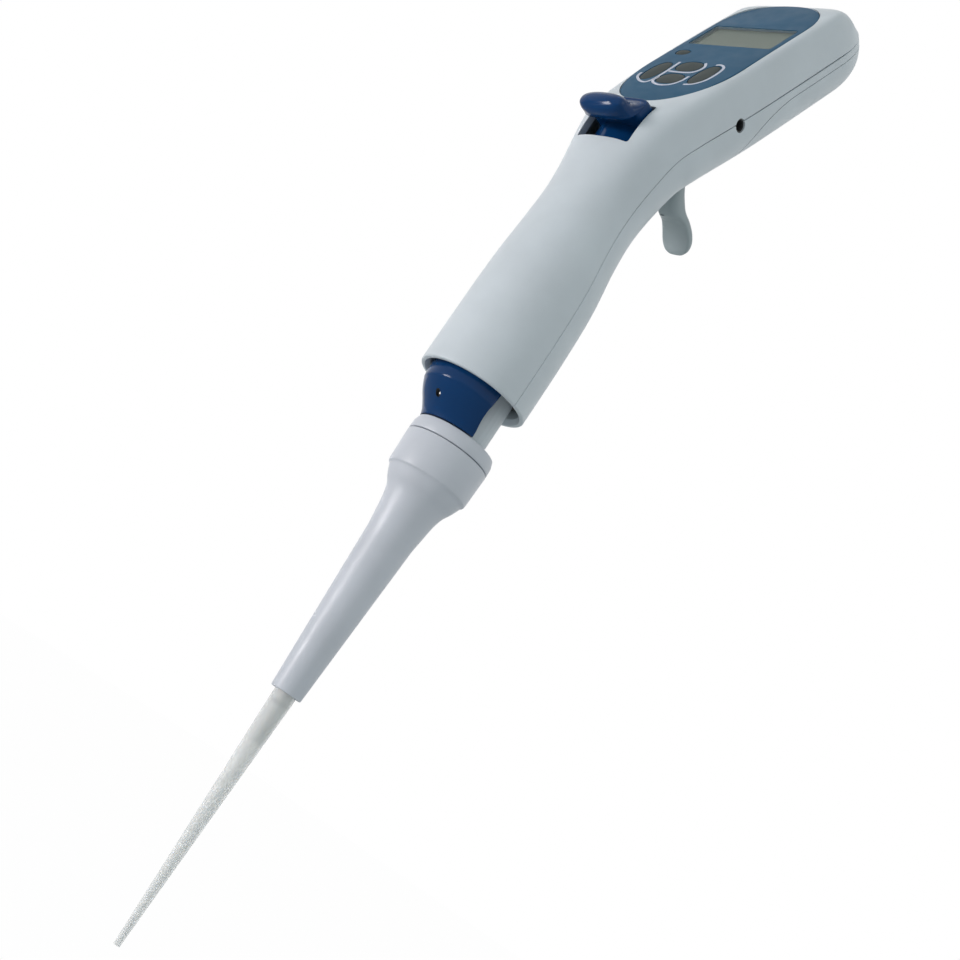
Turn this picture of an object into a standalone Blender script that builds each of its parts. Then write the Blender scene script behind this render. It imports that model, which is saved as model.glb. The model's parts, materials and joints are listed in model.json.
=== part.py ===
# Electronic pipette: a hand-held, motor-driven air-displacement pipette with a tip ejector.
# The pipette stands upright with its tip down. The front, with the display, faces -Y.
# The origin is the middle of the hand's grip. Lengths below are millimetres.

import math

import bmesh
import bpy
from mathutils import Matrix, Vector

MM = 0.001
GAP = 0.3          # clearance between neighbouring pieces
BITE = 1.0         # how far a cutter reaches past the face that it cuts

# Heights along the pipette's axis, measured up from the collar's seam
GRIP_ABOVE_SEAM = 54.0
HANDLE_BOTTOM = 15.8
SLEEVE_LENGTH = 71.5
TIP_LENGTH = 71.5
TIP_HIDDEN = 3.5          # the part of the tip that sits inside the sleeve's end

# Head: a slab that leans back from the handle
HEAD_LEAN = 24.7          # degrees from the pipette's axis
DISPLAY_HEIGHT = 147.6    # display centre above the seam
DISPLAY_SETBACK = 5.1     # display centre behind the pipette's axis
HEAD_HALF_WIDTH = 18.1
HEAD_HALF_DEPTH = 12.6    # from the parting line to the front, and to the back
HEAD_SHOULDER = 20.0      # where the head's rounded end begins, above the display centre
HEAD_END = 22.6           # length of the rounded end
END_WIDTH_POWER = 0.76    # how square the rounded end is, seen from the front
END_FRONT_POWER = 1.4     # how early its front falls away
END_SQUARE_FALL = 12      # how early its front edges round off
NECK_DROP = 44.0          # where the head's straight part begins, below the display centre
NECK_HALF_WIDTH = 16.5
SLOPE = math.radians(HEAD_LEAN)

# Collar, sleeve and barrel
COLLAR_RADIUS = 11.6
COLLAR_TOP_RADIUS = 11.1
COLLAR_BOTTOM_RADIUS = 11.3
RING_HEIGHT = 4.1
COLLAR_DEPTH = 10.1
COLLAR_WALL = 1.4
SLEEVE_TOP_RADIUS = 6.45  # where the shoulder runs into the long taper
SLEEVE_TOP = -26.0
SLEEVE_END_RADIUS = 4.2
SLEEVE_WALL = 1.0
BARREL_RADIUS = 7.5
BARREL_NECK_RADIUS = 6.3
NUT_RADIUS = 8.1
NUT_LENGTH = 5.1

# Handle: nearly round, and set forward so that its back wall passes just behind the barrel's nut
WALL = 2.0
HANDLE_RADIUS = 15.2
BACK_ROOM = NUT_RADIUS + 0.4
HANDLE_FORWARD = HANDLE_RADIUS - WALL - BACK_ROOM
WAIST_RADIUS = 13.1
WAIST_FORWARD = 5.4
WAIST_DROP = 73.6         # below the display centre
WAIST_HEIGHT = DISPLAY_HEIGHT - WAIST_DROP

# Panel, display and keys, in the head's own plane
PANEL_HALF_WIDTH = 15.6
PANEL_TOP = 24.6
PANEL_BOTTOM = -46.5
PANEL_TOP_ROUND = 17.0
PANEL_BOTTOM_ROUND = 27.0
PANEL_THICKNESS = 0.9
PANEL_SINK = 0.3          # how far the panel's face lies below the head's flat front
PANEL_BACK = -PANEL_SINK - PANEL_THICKNESS
PANEL_LEDGE = 1.8
DISPLAY_WIDTH = 28.0
DISPLAY_LENGTH = 14.0
KEY_TRAVEL = 0.6
KEYS_MIDDLE = -1.3        # the four main keys sit a little left of the panel's middle
SIDE_KEY_OFFSET = 8.2
SIDE_KEY_WIDTH = 5.2
SIDE_KEY_LENGTH = 12.2
SIDE_KEY_PLACE = -26.9
CENTRE_KEY_WIDTH = 7.9
CENTRE_KEY_LENGTH = 6.6
UPPER_KEY_PLACE = -22.5
LOWER_KEY_PLACE = -31.0
MENU_KEY_WIDTH = 4.3
MENU_KEY_LENGTH = 3.4
MENU_KEY_OFFSET = -10.6
MENU_KEY_PLACE = -13.4

# Behind the keys: their flanges and stems, the rubber mat with its domes, and the board
FLANGE_TOP = PANEL_BACK - GAP
FLANGE_THICKNESS = 0.6
FLANGE_SPREAD = 0.5
STEM_RADIUS = 0.9
STEM_BOTTOM = FLANGE_TOP - FLANGE_THICKNESS - 0.6
DOME_TOP = STEM_BOTTOM - KEY_TRAVEL - GAP
DOME_RADIUS = 2.0
MEMBRANE_TOP = DOME_TOP - 0.7
MEMBRANE_BOTTOM = MEMBRANE_TOP - 0.8
MEMBRANE_HALF_WIDTH = 12.6
MEMBRANE_END = 16.5       # the mat's upper end, above the side keys' middles
BOARD_FRONT = MEMBRANE_BOTTOM - GAP
BOARD_THICKNESS = 1.2
BOARD_BACK = BOARD_FRONT - BOARD_THICKNESS
BOARD_END = -38.0         # its lower end, clear of the thumb window
BUZZER_RADIUS = 4.4
BUZZER_PLACE = (6.5, -20.0, 0)

# Thumb window, lever and the rod that carries the lever's push down
WINDOW_DROP = 45.0         # the window's top edge, below the display centre
WINDOW_LENGTH = 13.3
WINDOW_TOP = DISPLAY_HEIGHT - WINDOW_DROP
WINDOW_BOTTOM = WINDOW_TOP - WINDOW_LENGTH
WINDOW_HALF_WIDTH = 8.6    # at its bottom edge
WINDOW_FLARE = 0.04        # how much wider each side gets for each millimetre up
LEVER_THICKNESS = 6.2
LEVER_REACH = 7.6          # from the window to the lever's nose
EJECT_STROKE = 6.2
SHIELD_SPREAD = 52.0       # degrees to each side that the lever's shield covers behind the window
SHIELD_THICKNESS = 1.4
ROD_RADIUS = 1.5
ROD_TOP = WINDOW_BOTTOM - 4.7
ROD_COLLAR_RADIUS = 2.9
ROD_COLLAR_TOP = ROD_TOP - 6.8
ROD_COLLAR_BOTTOM = ROD_COLLAR_TOP - 1.8
EJECT_SPRING_ROOM = 19.0
LEDGE_TOP = ROD_COLLAR_BOTTOM - EJECT_SPRING_ROOM
LEDGE_BOTTOM = LEDGE_TOP - 1.8
SKIRT_TOP = HANDLE_BOTTOM + 6.4
SKIRT_THICKNESS = 1.5
SKIRT_CLEARANCE = 0.8

# Trigger
TRIGGER_DROP = 41.1       # the trigger's pin, below the display centre
TRIGGER_PIVOT_HEIGHT = DISPLAY_HEIGHT - TRIGGER_DROP
TRIGGER_PIVOT_DEPTH = 6.33  # the pin, inside the shell's back
TRIGGER_SLOPE = 31.7      # degrees below horizontal
TRIGGER_LENGTH = 28.8
TRIGGER_HALF_WIDTH = 4.9
TRIGGER_NECK_HALF_WIDTH = 3.8
TRIGGER_HALF_THICKNESS = 2.3
TRIGGER_DISH = 1.1        # hollow of the face that the finger pulls
TRIGGER_PIN_RADIUS = 1.0
TRIGGER_SWING = 8.0       # degrees that a pull turns the trigger
TRIGGER_SWING_ROOM = 1.6
TRIGGER_HUB = 2.6
TRIGGER_HUB_END = 0.8     # the hub stops here, and the spring sits beside it on the pin
TRIGGER_TAIL_END = 5.0
TRIGGER_TAIL_HALF = 0.8
BRACKET_INSIDE = TRIGGER_NECK_HALF_WIDTH + GAP * 1.5
BRACKET_CHEEK = 1.4
BRACKET_PLATE = 7.4       # from the pin to the plate that joins the bracket's cheeks
BRACKET_PLATE_THICKNESS = 1.6

# Battery, its bay and cover, and the charging jack
COVER_LINE = -14.7        # depth of the cover's edge below the head's front
COVER_START = -31.0
COVER_ROUND = 15.3        # depth of the sweep in which its edge turns to the back
BATTERY_WIDTH = 25.0
BATTERY_LENGTH = 40.0
BATTERY_THICKNESS = 7.6
BATTERY_PLACE = 2.0
BAY_FLOOR = -11.0
BAY_THICKNESS = 1.2
BAY_DEPTH = 4.0
JACK_PLACE = -27.6
JACK_DROP = 0.6           # behind the parting line
JACK_HOLE_RADIUS = 1.9
JACK_BACK = 9.0
JACK_FACE = HEAD_HALF_WIDTH - WALL - 1.1

# Chassis, screws and motor
CHASSIS_BOTTOM = HANDLE_BOTTOM + 8.8
CHASSIS_PLATE = 3.2
CHASSIS_TOP = CHASSIS_BOTTOM + CHASSIS_PLATE
SCREW_HOLE = 0.95
SCREW_SHANK = 0.65
SCREW_HEAD = 1.6
TOP_BOSS_RADIUS = 2.4
TOP_BOSS_END = -2.8       # the bosses end inside the front wall
TOP_SCREW_OFFSET = 8.5
TOP_SCREW_PLACE = 27.5
SHELF_TOP = COVER_LINE + 1.8
RIM_SCREW_SEAT = HANDLE_RADIUS - HANDLE_FORWARD - 1.0
SCREW_RADIUS = 1.5        # lead screw
MOTOR_RADIUS = 7.4
MOTOR_BOTTOM = CHASSIS_TOP + GAP
MOTOR_HEADROOM = 21.9     # kept free between the motor and the waist
MOTOR_TOP = WAIST_HEIGHT - MOTOR_HEADROOM
MOTOR_CAP = 2.4
MOTOR_BOSS_RADIUS = 4.0
MOTOR_WALL = 1.0
MOTOR_SCREW_OFFSET = MOTOR_RADIUS + 1.5
MOTOR_SCREW_HEAD = 1.2
EAR_HALF = 1.6
EAR_THICKNESS = 1.2
STATOR_INNER = 4.9
ROTOR_RADIUS = STATOR_INNER - GAP
COLUMN_BACK = MOTOR_RADIUS + 0.8
COLUMN_FRONT = COLUMN_BACK + 2.2
ROD_FORWARD = COLUMN_FRONT + 2.5

# Liquid end: the piston at rest, the barrel's bore, the nozzle and the tip
PISTON_RADIUS = 4.85      # over the seal
PISTON_STROKE = 18.0
PISTON_BOTTOM = -13.4
PISTON_LENGTH = 7.6
BORE_RADIUS = PISTON_RADIUS + GAP
BORE_TOP = PISTON_BOTTOM + PISTON_LENGTH + PISTON_STROKE + 0.6
BORE_BOTTOM = PISTON_BOTTOM - 0.8
BARREL_SHOULDER = -11.4
BARREL_NECK_TOP = CHASSIS_BOTTOM - 0.4
NUT_TOP = CHASSIS_BOTTOM - GAP
NUT_BOTTOM = NUT_TOP - NUT_LENGTH
CHANNEL_RADIUS = 0.7
SEAL_HEIGHT = 1.6
TIP_TOP = -SLEEVE_LENGTH + TIP_HIDDEN
TIP_END = TIP_TOP - TIP_LENGTH
TIP_RIM_RADIUS = 3.35
TIP_RIM_LENGTH = 2.4
TIP_NECK_RADIUS = 3.05
TIP_END_RADIUS = 0.83
TIP_WALL = 0.5
NOZZLE_TOP = BORE_BOTTOM - 1.6
NOZZLE_END = TIP_TOP - 17.0
O_RING_PLACE = TIP_TOP - 6.2
O_RING_HALF = 0.55


# Scene and materials

for old in list(bpy.data.objects):
    bpy.data.objects.remove(old, do_unlink=True)


def material(name, colour, roughness, metallic=0.0):
    made = bpy.data.materials.new(name)
    made.use_nodes = True
    shader = made.node_tree.nodes["Principled BSDF"]
    shader.inputs["Base Color"].default_value = (*colour, 1.0)
    shader.inputs["Roughness"].default_value = roughness
    shader.inputs["Metallic"].default_value = metallic
    made.diffuse_color = (*colour, 1.0)
    return made


SHELL = material("shell_grey", (0.56, 0.60, 0.62), 0.45)
COLLAR = material("collar_grey", (0.55, 0.56, 0.60), 0.45)
NAVY = material("navy_plastic", (0.012, 0.045, 0.16), 0.3)
PANEL_BLUE = material("panel_blue", (0.05, 0.12, 0.23), 0.5)
KEY_BROWN = material("key_rubber", (0.10, 0.09, 0.08), 0.6)
TRIGGER_GREY = material("trigger_grey", (0.25, 0.29, 0.30), 0.5)
DISPLAY_GREEN = material("display_glass", (0.26, 0.29, 0.26), 0.3)
CLEAR = material("clear_plastic", (0.85, 0.88, 0.88), 0.1)
BOARD = material("board_green", (0.03, 0.18, 0.09), 0.5)
BLACK = material("black_plastic", (0.02, 0.02, 0.02), 0.5)
RUBBER = material("rubber", (0.03, 0.03, 0.03), 0.8)
STEEL = material("steel", (0.55, 0.56, 0.58), 0.3, 1.0)
BRASS = material("brass", (0.60, 0.45, 0.20), 0.35, 1.0)
COPPER = material("copper", (0.60, 0.28, 0.14), 0.4, 1.0)
WHITE = material("white_plastic", (0.80, 0.80, 0.78), 0.4)
CELL = material("cell_wrap", (0.08, 0.25, 0.22), 0.5)


# Frames: the collar's seam on the pipette's axis, the head's plane, and the trigger's pivot

def frame_empty(name, place, turn_x=0.0, parent=None):
    empty = bpy.data.objects.new(name, None)
    bpy.context.scene.collection.objects.link(empty)
    empty.location = Vector(place) * MM
    empty.rotation_euler = (turn_x, 0.0, 0.0)
    empty.parent = parent
    return empty


axis_frame = frame_empty("axis_frame", (0, 0, -GRIP_ABOVE_SEAM))
# In the head's frame X is across, Y runs up the head and Z comes out of its front
head_frame = frame_empty(
    "head_frame", (0, DISPLAY_SETBACK, DISPLAY_HEIGHT), math.pi / 2 - SLOPE, axis_frame)


def head_to_axis(along, depth):
    """Y and Z, in the axis frame, of a point in the head's middle plane."""
    y = DISPLAY_SETBACK + along * math.sin(SLOPE) - depth * math.cos(SLOPE)
    z = DISPLAY_HEIGHT + along * math.cos(SLOPE) + depth * math.sin(SLOPE)
    return y, z


# Mesh makers

def finish(name, mesh_data, look, frame, place=(0, 0, 0), sharp=35.0):
    bmesh.ops.recalc_face_normals(mesh_data, faces=mesh_data.faces)
    mesh = bpy.data.meshes.new(name)
    mesh_data.to_mesh(mesh)
    mesh_data.free()
    mesh.shade_smooth()
    mesh.set_sharp_from_angle(angle=math.radians(sharp))
    made = bpy.data.objects.new(name, mesh)
    bpy.context.scene.collection.objects.link(made)
    made.parent = frame
    made.location = Vector(place) * MM
    if look is not None:
        mesh.materials.append(look)
    return made


def loft(name, loops, look, frame, place=(0, 0, 0), sharp=35.0):
    """A closed solid through loops of points, with flat ends."""
    data = bmesh.new()
    rings = [[data.verts.new(Vector(point) * MM) for point in loop] for loop in loops]
    for lower, upper in zip(rings, rings[1:]):
        for i in range(len(lower)):
            j = (i + 1) % len(lower)
            data.faces.new((lower[i], lower[j], upper[j], upper[i]))
    data.faces.new(rings[0][::-1])
    data.faces.new(rings[-1])
    return finish(name, data, look, frame, place, sharp)


def prism(name, outline, bottom, top, look, frame, place=(0, 0, 0)):
    """An outline in X and Y, drawn from a bottom to a top height."""
    loops = [[(x, y, z) for x, y in outline] for z in (bottom, top)]
    return loft(name, loops, look, frame, place)


def cross_prism(name, outline, half_width, look, frame, place=(0, 0, 0)):
    """An outline in Y and Z, drawn across X."""
    loops = [[(x, y, z) for y, z in outline] for x in (-half_width, half_width)]
    return loft(name, loops, look, frame, place)


def box(name, low, high, look, frame, place=(0, 0, 0)):
    outline = [(low[0], low[1]), (high[0], low[1]), (high[0], high[1]), (low[0], high[1])]
    return prism(name, outline, low[2], high[2], look, frame, place)


def turned(name, profile, look, frame, place=(0, 0, 0), sides=24, sharp=35.0):
    """A closed outline of (radius, height) points turned about Z."""
    data = bmesh.new()
    rings = []
    for radius, height in profile:
        if radius == 0:
            rings.append([data.verts.new((0, 0, height * MM))] * sides)
        else:
            angles = (2 * math.pi * (i + 0.5) / sides for i in range(sides))
            rings.append([data.verts.new((radius * math.cos(a) * MM, radius * math.sin(a) * MM, height * MM))
                          for a in angles])
    for first, second in zip(rings, rings[1:] + rings[:1]):
        for i in range(sides):
            j = (i + 1) % sides
            corners = []
            for corner in (first[i], first[j], second[j], second[i]):
                if corner not in corners:
                    corners.append(corner)
            if len(corners) > 2:
                data.faces.new(corners)
    return finish(name, data, look, frame, place, sharp)


def cylinder(name, radius, bottom, top, look, frame, place=(0, 0, 0), sides=20):
    return turned(name, [(0, bottom), (radius, bottom), (radius, top), (0, top)], look, frame, place, sides)


def tube(name, inner, outer, bottom, top, look, frame, place=(0, 0, 0), sides=20):
    profile = [(inner, bottom), (outer, bottom), (outer, top), (inner, top)]
    return turned(name, profile, look, frame, place, sides)


def helix(name, radius, wire, bottom, top, turns, look, frame, place=(0, 0, 0), steps=10, sides=5):
    """A coil spring of round wire between two heights."""
    low = bottom + wire
    rise = top - bottom - 2 * wire
    loops = []
    for i in range(int(turns * steps) + 1):
        share = i / int(turns * steps)
        angle = 2 * math.pi * turns * share
        height = low + rise * share
        loop = []
        for k in range(sides):
            lean = 2 * math.pi * k / sides
            reach = radius + wire * math.cos(lean)
            loop.append((reach * math.cos(angle), reach * math.sin(angle), height + wire * math.sin(lean)))
        loops.append(loop)
    return loft(name, loops, look, frame, place, sharp=80.0)


def combine(target, tools, operation):
    """Cut or join with helper solids that the finished model leaves out."""
    for tool in tools:
        step = target.modifiers.new(operation.lower(), "BOOLEAN")
        step.operation = operation
        step.solver = "EXACT"
        step.object = tool
        tool.hide_render = True
        tool.display_type = "WIRE"
    return target


def cut(target, *tools):
    return combine(target, tools, "DIFFERENCE")


def join(target, *tools):
    return combine(target, tools, "UNION")


def turn(made, axis, degrees):
    """Turn a piece's own shape before it is placed."""
    made.data.transform(Matrix.Rotation(math.radians(degrees), 4, axis))
    return made


# Outlines

def oval(half_width, half_length, power=2.0, points=28, centre=(0, 0)):
    """A superellipse: power 2 is an ellipse, and higher powers are squarer."""
    outline = []
    for i in range(points):
        angle = 2 * math.pi * i / points
        across, up = math.cos(angle), math.sin(angle)
        outline.append((centre[0] + half_width * math.copysign(abs(across) ** (2 / power), across),
                        centre[1] + half_length * math.copysign(abs(up) ** (2 / power), up)))
    return outline


def rounded_box(half_width, half_length, radius, corner_points=5, centre=(0, 0)):
    outline = []
    corners = ((1, 1, 0), (-1, 1, 90), (-1, -1, 180), (1, -1, 270))
    for side_x, side_y, start in corners:
        for i in range(corner_points):
            angle = math.radians(start + 90 * i / (corner_points - 1))
            outline.append((centre[0] + side_x * (half_width - radius) + radius * math.cos(angle),
                            centre[1] + side_y * (half_length - radius) + radius * math.sin(angle)))
    return outline


def arc_band(inner, outer, spread, forward, points=13):
    """A curved wall around the front: an arc of a ring, spread degrees to each side."""
    outline = []
    for radius, order in ((outer, 1), (inner, -1)):
        for i in range(points)[::order]:
            angle = math.radians(-spread + 2 * spread * i / (points - 1))
            outline.append((radius * math.sin(angle), -forward - radius * math.cos(angle)))
    return outline


def panel_outline(margin, points=14):
    """The control panel: straight sides, a round top and a longer round bottom."""
    half = PANEL_HALF_WIDTH - margin
    top = PANEL_TOP - margin
    bottom = PANEL_BOTTOM + margin
    outline = []
    for i in range(points + 1):
        angle = math.pi * i / points
        outline.append((half * math.copysign(abs(math.cos(angle)) ** 0.86, math.cos(angle)),
                        top - PANEL_TOP_ROUND + PANEL_TOP_ROUND * math.sin(angle) ** 0.86))
    for i in range(1, points + 2):
        angle = math.pi + math.pi * (i - 0.5) / (points + 1)
        outline.append((half * math.copysign(abs(math.cos(angle)) ** 0.86, math.cos(angle)),
                        bottom + PANEL_BOTTOM_ROUND - PANEL_BOTTOM_ROUND * abs(math.sin(angle)) ** 0.86))
    return outline


# The shell's sections: each has a place, a lean, half widths and depths, and how square it is

def shell_stations():
    """Sections from the handle's bottom rim to the head's shoulder."""
    neck_y, neck_z = head_to_axis(-NECK_DROP, -HEAD_HALF_DEPTH)
    grip = WAIST_HEIGHT - HANDLE_BOTTOM
    neck = neck_z - WAIST_HEIGHT
    upper_grip = HANDLE_RADIUS - 0.4
    rows = [
        # y, z, lean, half width, front depth, back depth, front power, back power
        (-HANDLE_FORWARD, HANDLE_BOTTOM, 0, HANDLE_RADIUS, HANDLE_RADIUS, HANDLE_RADIUS, 2.0, 2.0),
        (-HANDLE_FORWARD, HANDLE_BOTTOM + 0.313 * grip, 0, HANDLE_RADIUS, HANDLE_RADIUS, HANDLE_RADIUS, 2.0, 2.0),
        (-HANDLE_FORWARD - 0.2, HANDLE_BOTTOM + 0.588 * grip, 0, upper_grip, upper_grip, upper_grip, 2.0, 2.0),
        (-WAIST_FORWARD, HANDLE_BOTTOM + 0.828 * grip, 0,
         WAIST_RADIUS + 0.4, WAIST_RADIUS + 0.6, WAIST_RADIUS + 0.6, 2.0, 2.0),
        (-WAIST_FORWARD, WAIST_HEIGHT, 0, WAIST_RADIUS, WAIST_RADIUS, WAIST_RADIUS, 2.1, 2.05),
        (-WAIST_FORWARD + 0.4, WAIST_HEIGHT + 0.353 * neck, 0,
         WAIST_RADIUS + 0.6, WAIST_RADIUS + 0.1, WAIST_RADIUS + 0.1, 2.5, 2.2),
        (-WAIST_FORWARD + 1.2, WAIST_HEIGHT + 0.723 * neck, HEAD_LEAN / 2,
         WAIST_RADIUS + 2.0, WAIST_RADIUS + 0.5, WAIST_RADIUS - 0.1, 3.6, 2.5),
        (neck_y, neck_z, HEAD_LEAN, NECK_HALF_WIDTH, HEAD_HALF_DEPTH, HEAD_HALF_DEPTH, 6.0, 2.8),
    ]
    for along, width, front_power in ((-NECK_DROP / 2, -0.3, 9.0), (0.0, 0.0, 10.0), (HEAD_SHOULDER, -0.1, 10.0)):
        y, z = head_to_axis(along, -HEAD_HALF_DEPTH)
        rows.append((y, z, HEAD_LEAN, HEAD_HALF_WIDTH + width, HEAD_HALF_DEPTH, HEAD_HALF_DEPTH, front_power, 3.0))
    return rows


def between(a, b, c, d, t):
    """Catmull-Rom value between b and c."""
    return 0.5 * (2 * b + (c - a) * t + (2 * a - 5 * b + 4 * c - d) * t * t + (3 * b - a - 3 * c + d) * t ** 3)


def shell_sections(wall=0.0, steps=2, end_steps=6):
    """The shell's sections, drawn in by a wall, with the head's rounded end."""
    rows = shell_stations()
    rows = [rows[0]] + rows + [rows[-1]]
    sections = []
    for a, b, c, d in zip(rows, rows[1:], rows[2:], rows[3:]):
        for i in range(steps):
            sections.append([between(*values, i / steps) for values in zip(a, b, c, d)])
    last = list(rows[-1])
    end_length = HEAD_END - wall
    for i in range(end_steps + 1):
        angle = math.radians(86.0) * i / end_steps
        y, z = head_to_axis(HEAD_SHOULDER + end_length * math.sin(angle), -HEAD_HALF_DEPTH)
        shrink = math.cos(angle)
        section = list(last)
        section[0], section[1] = y, z
        section[3] = wall + (last[3] - wall) * shrink ** END_WIDTH_POWER
        section[4] = wall + (last[4] - wall) * shrink ** END_FRONT_POWER
        section[5] = wall + (last[5] - wall) * shrink
        section[6] = 2.0 + (last[6] - 2.0) * shrink ** END_SQUARE_FALL
        sections.append(section)
    for section in sections:
        for place in (3, 4, 5):
            section[place] -= wall
    return sections


def section_point(section, angle, split=0.0):
    """A point of a section's outline: 0 to 180 degrees is its front half, the rest its back half."""
    y, z, lean, half, front, back, front_power, back_power = section
    side = 1 if math.sin(angle) >= 0 else -1
    depth = front if side > 0 else back
    power = front_power if side > 0 else back_power
    lean = math.radians(lean)
    across = math.copysign(abs(math.cos(angle)) ** (2 / power), math.cos(angle)) * half
    out = side * (split + (depth - split) * abs(math.sin(angle)) ** (2 / power))
    return across, y - out * math.cos(lean), z + out * math.sin(lean)


def shell_back(height):
    """Y of the shell's back at this height, in the middle plane."""
    points = [section_point(section, -math.pi / 2) for section in shell_sections()]
    for lower, upper in zip(points, points[1:]):
        if lower[2] <= height <= upper[2]:
            return lower[1] + (upper[1] - lower[1]) * (height - lower[2]) / (upper[2] - lower[2])
    return points[-1][1]


TRIGGER_PIVOT_BACK = shell_back(TRIGGER_PIVOT_HEIGHT) - TRIGGER_PIVOT_DEPTH
# In the trigger's frame Y runs along the trigger, away from the body
trigger_frame = frame_empty(
    "trigger_frame", (0, TRIGGER_PIVOT_BACK, TRIGGER_PIVOT_HEIGHT), -math.radians(TRIGGER_SLOPE), axis_frame)


def half_shell(name, side, look, points=18):
    """The front or back half of the shell: an outer skin, an inner skin and the rim between them."""
    # The end points lie on the parting plane, just inside this half
    angles = [side * math.pi * min(max(i / points, 1e-9), 1 - 1e-9) for i in range(points + 1)]
    data = bmesh.new()
    skins = []
    for wall in (0.0, WALL):
        skins.append([[data.verts.new(Vector(section_point(section, angle, GAP / 2)) * MM) for angle in angles]
                      for section in shell_sections(wall)])
    outer, inner = skins
    for skin in skins:
        for lower, upper in zip(skin, skin[1:]):
            for i in range(points):
                data.faces.new((lower[i], lower[i + 1], upper[i + 1], upper[i]))
        data.faces.new(skin[-1])
    for i in range(points):
        data.faces.new((outer[0][i], outer[0][i + 1], inner[0][i + 1], inner[0][i]))
    for row in range(len(outer) - 1):
        for end in (0, points):
            data.faces.new((outer[row][end], outer[row + 1][end], inner[row + 1][end], inner[row][end]))
    data.faces.new((outer[-1][0], outer[-1][points], inner[-1][points], inner[-1][0]))
    return finish(name, data, look, axis_frame, sharp=50.0)


# Casing

def screw_place(sign):
    return sign * TOP_SCREW_OFFSET, TOP_SCREW_PLACE, 0


def window_half(height):
    """The thumb window's half width, which grows with height."""
    return WINDOW_HALF_WIDTH + WINDOW_FLARE * (height - WINDOW_BOTTOM)


def front_housing():
    front = half_shell("front_housing", 1, SHELL)
    floor = PANEL_BACK - GAP
    pilot_end = TOP_BOSS_END - 3.6
    bosses = []
    pilots = []
    for sign in (-1, 1):
        bosses.append(cylinder(f"top_boss_{sign}", TOP_BOSS_RADIUS, -HEAD_HALF_DEPTH + GAP / 2, TOP_BOSS_END, None,
                               head_frame, screw_place(sign), 16))
        pilots.append(cylinder(f"top_pilot_{sign}", SCREW_HOLE, -HEAD_HALF_DEPTH - BITE, pilot_end, None, head_frame,
                               screw_place(sign), 12))
    pocket = prism("panel_pocket", panel_outline(-GAP), floor, BITE * 3, None, head_frame)
    mouth = prism("panel_mouth", panel_outline(PANEL_LEDGE), -WALL - BITE * 3, floor + BITE, None, head_frame)
    bottom_half, top_half = window_half(WINDOW_BOTTOM), window_half(WINDOW_TOP)
    corners = ((-bottom_half, WINDOW_BOTTOM), (bottom_half, WINDOW_BOTTOM), (top_half, WINDOW_TOP),
               (-top_half, WINDOW_TOP))
    front_reach = -WAIST_FORWARD - WAIST_RADIUS * 2
    window = loft("window_cutter", [[(x, y, z) for x, z in corners] for y in (front_reach, -ROD_FORWARD + 4.9)],
                  None, axis_frame)
    join(front, *bosses)
    return cut(front, *pilots, pocket, mouth, window, jack_hole("jack_hole_front"))


def jack_hole(name):
    hole = cylinder(name, JACK_HOLE_RADIUS, JACK_BACK - 5.0, HEAD_HALF_WIDTH + BITE * 3, None, head_frame,
                    (0, JACK_PLACE, -HEAD_HALF_DEPTH - JACK_DROP))
    return turn(hole, "Y", 90)


def back_housing():
    back = half_shell("back_housing", -1, SHELL)
    shelf = prism("top_shelf", shelf_outline(1.0), COVER_LINE - BITE, SHELF_TOP, None, head_frame)
    cover_space = cover_region("cover_space", GAP / 2, HEAD_HALF_WIDTH + BITE * 2)
    slot_outline = rounded_box(TRIGGER_NECK_HALF_WIDTH + GAP * 2, TRIGGER_HALF_THICKNESS + TRIGGER_SWING_ROOM, 1.2, 4)
    slot = prism("trigger_slot", slot_outline, -TRIGGER_PIVOT_DEPTH - 9.7, -1.0, None, trigger_frame)
    slot.rotation_euler = (math.pi / 2, 0, 0)
    screw_height = (0, 0, CHASSIS_BOTTOM + CHASSIS_PLATE / 2)
    outside = RIM_SCREW_SEAT + 4.5
    rim_screw = turn(cylinder("rim_screw_hole", SCREW_HOLE, RIM_SCREW_SEAT - 6.5, outside, None, axis_frame,
                              screw_height, 16), "X", -90)
    rim_sink = turn(cylinder("rim_screw_sink", SCREW_HEAD + GAP, RIM_SCREW_SEAT, outside, None, axis_frame,
                             screw_height, 16), "X", -90)
    holes = [cylinder(f"shelf_hole_{sign}", SCREW_HOLE, COVER_LINE - BITE * 2, SHELF_TOP + BITE, None, head_frame,
                      screw_place(sign), 12) for sign in (-1, 1)]
    join(back, shelf)
    return cut(back, *holes, cover_space, slot, jack_hole("jack_hole_back"), rim_screw, rim_sink)


def shelf_outline(bite, points=12):
    """The head's rounded end, seen from the front, reaching a little into the wall."""
    lower_edge = TOP_SCREW_PLACE - TOP_BOSS_RADIUS
    outline = []
    for i in range(points + 1):
        angle = math.pi * i / points
        half = (HEAD_HALF_WIDTH - WALL) * math.copysign(abs(math.cos(angle)) ** END_WIDTH_POWER, math.cos(angle))
        outline.append((half + bite * math.cos(angle),
                        max(HEAD_SHOULDER + (HEAD_END - WALL + bite) * math.sin(angle), lower_edge)))
    return outline


def cover_region(name, gap, half_width):
    """The space that the battery cover takes, seen from the side, drawn across the head."""
    line = COVER_LINE + gap
    start = COVER_START - gap
    deep = -HEAD_HALF_DEPTH * 2 - 4.0
    far = HEAD_SHOULDER + HEAD_END + 4.0
    sweep = COVER_ROUND * 1.9
    outline = [(far, deep), (far, line)]
    for i in range(7):
        angle = math.radians(90 + 15 * i)
        outline.append((start + sweep + sweep * math.cos(angle), line - COVER_ROUND + COVER_ROUND * math.sin(angle)))
    outline.append((start, deep))
    return cross_prism(name, outline, half_width, None, head_frame)


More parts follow.
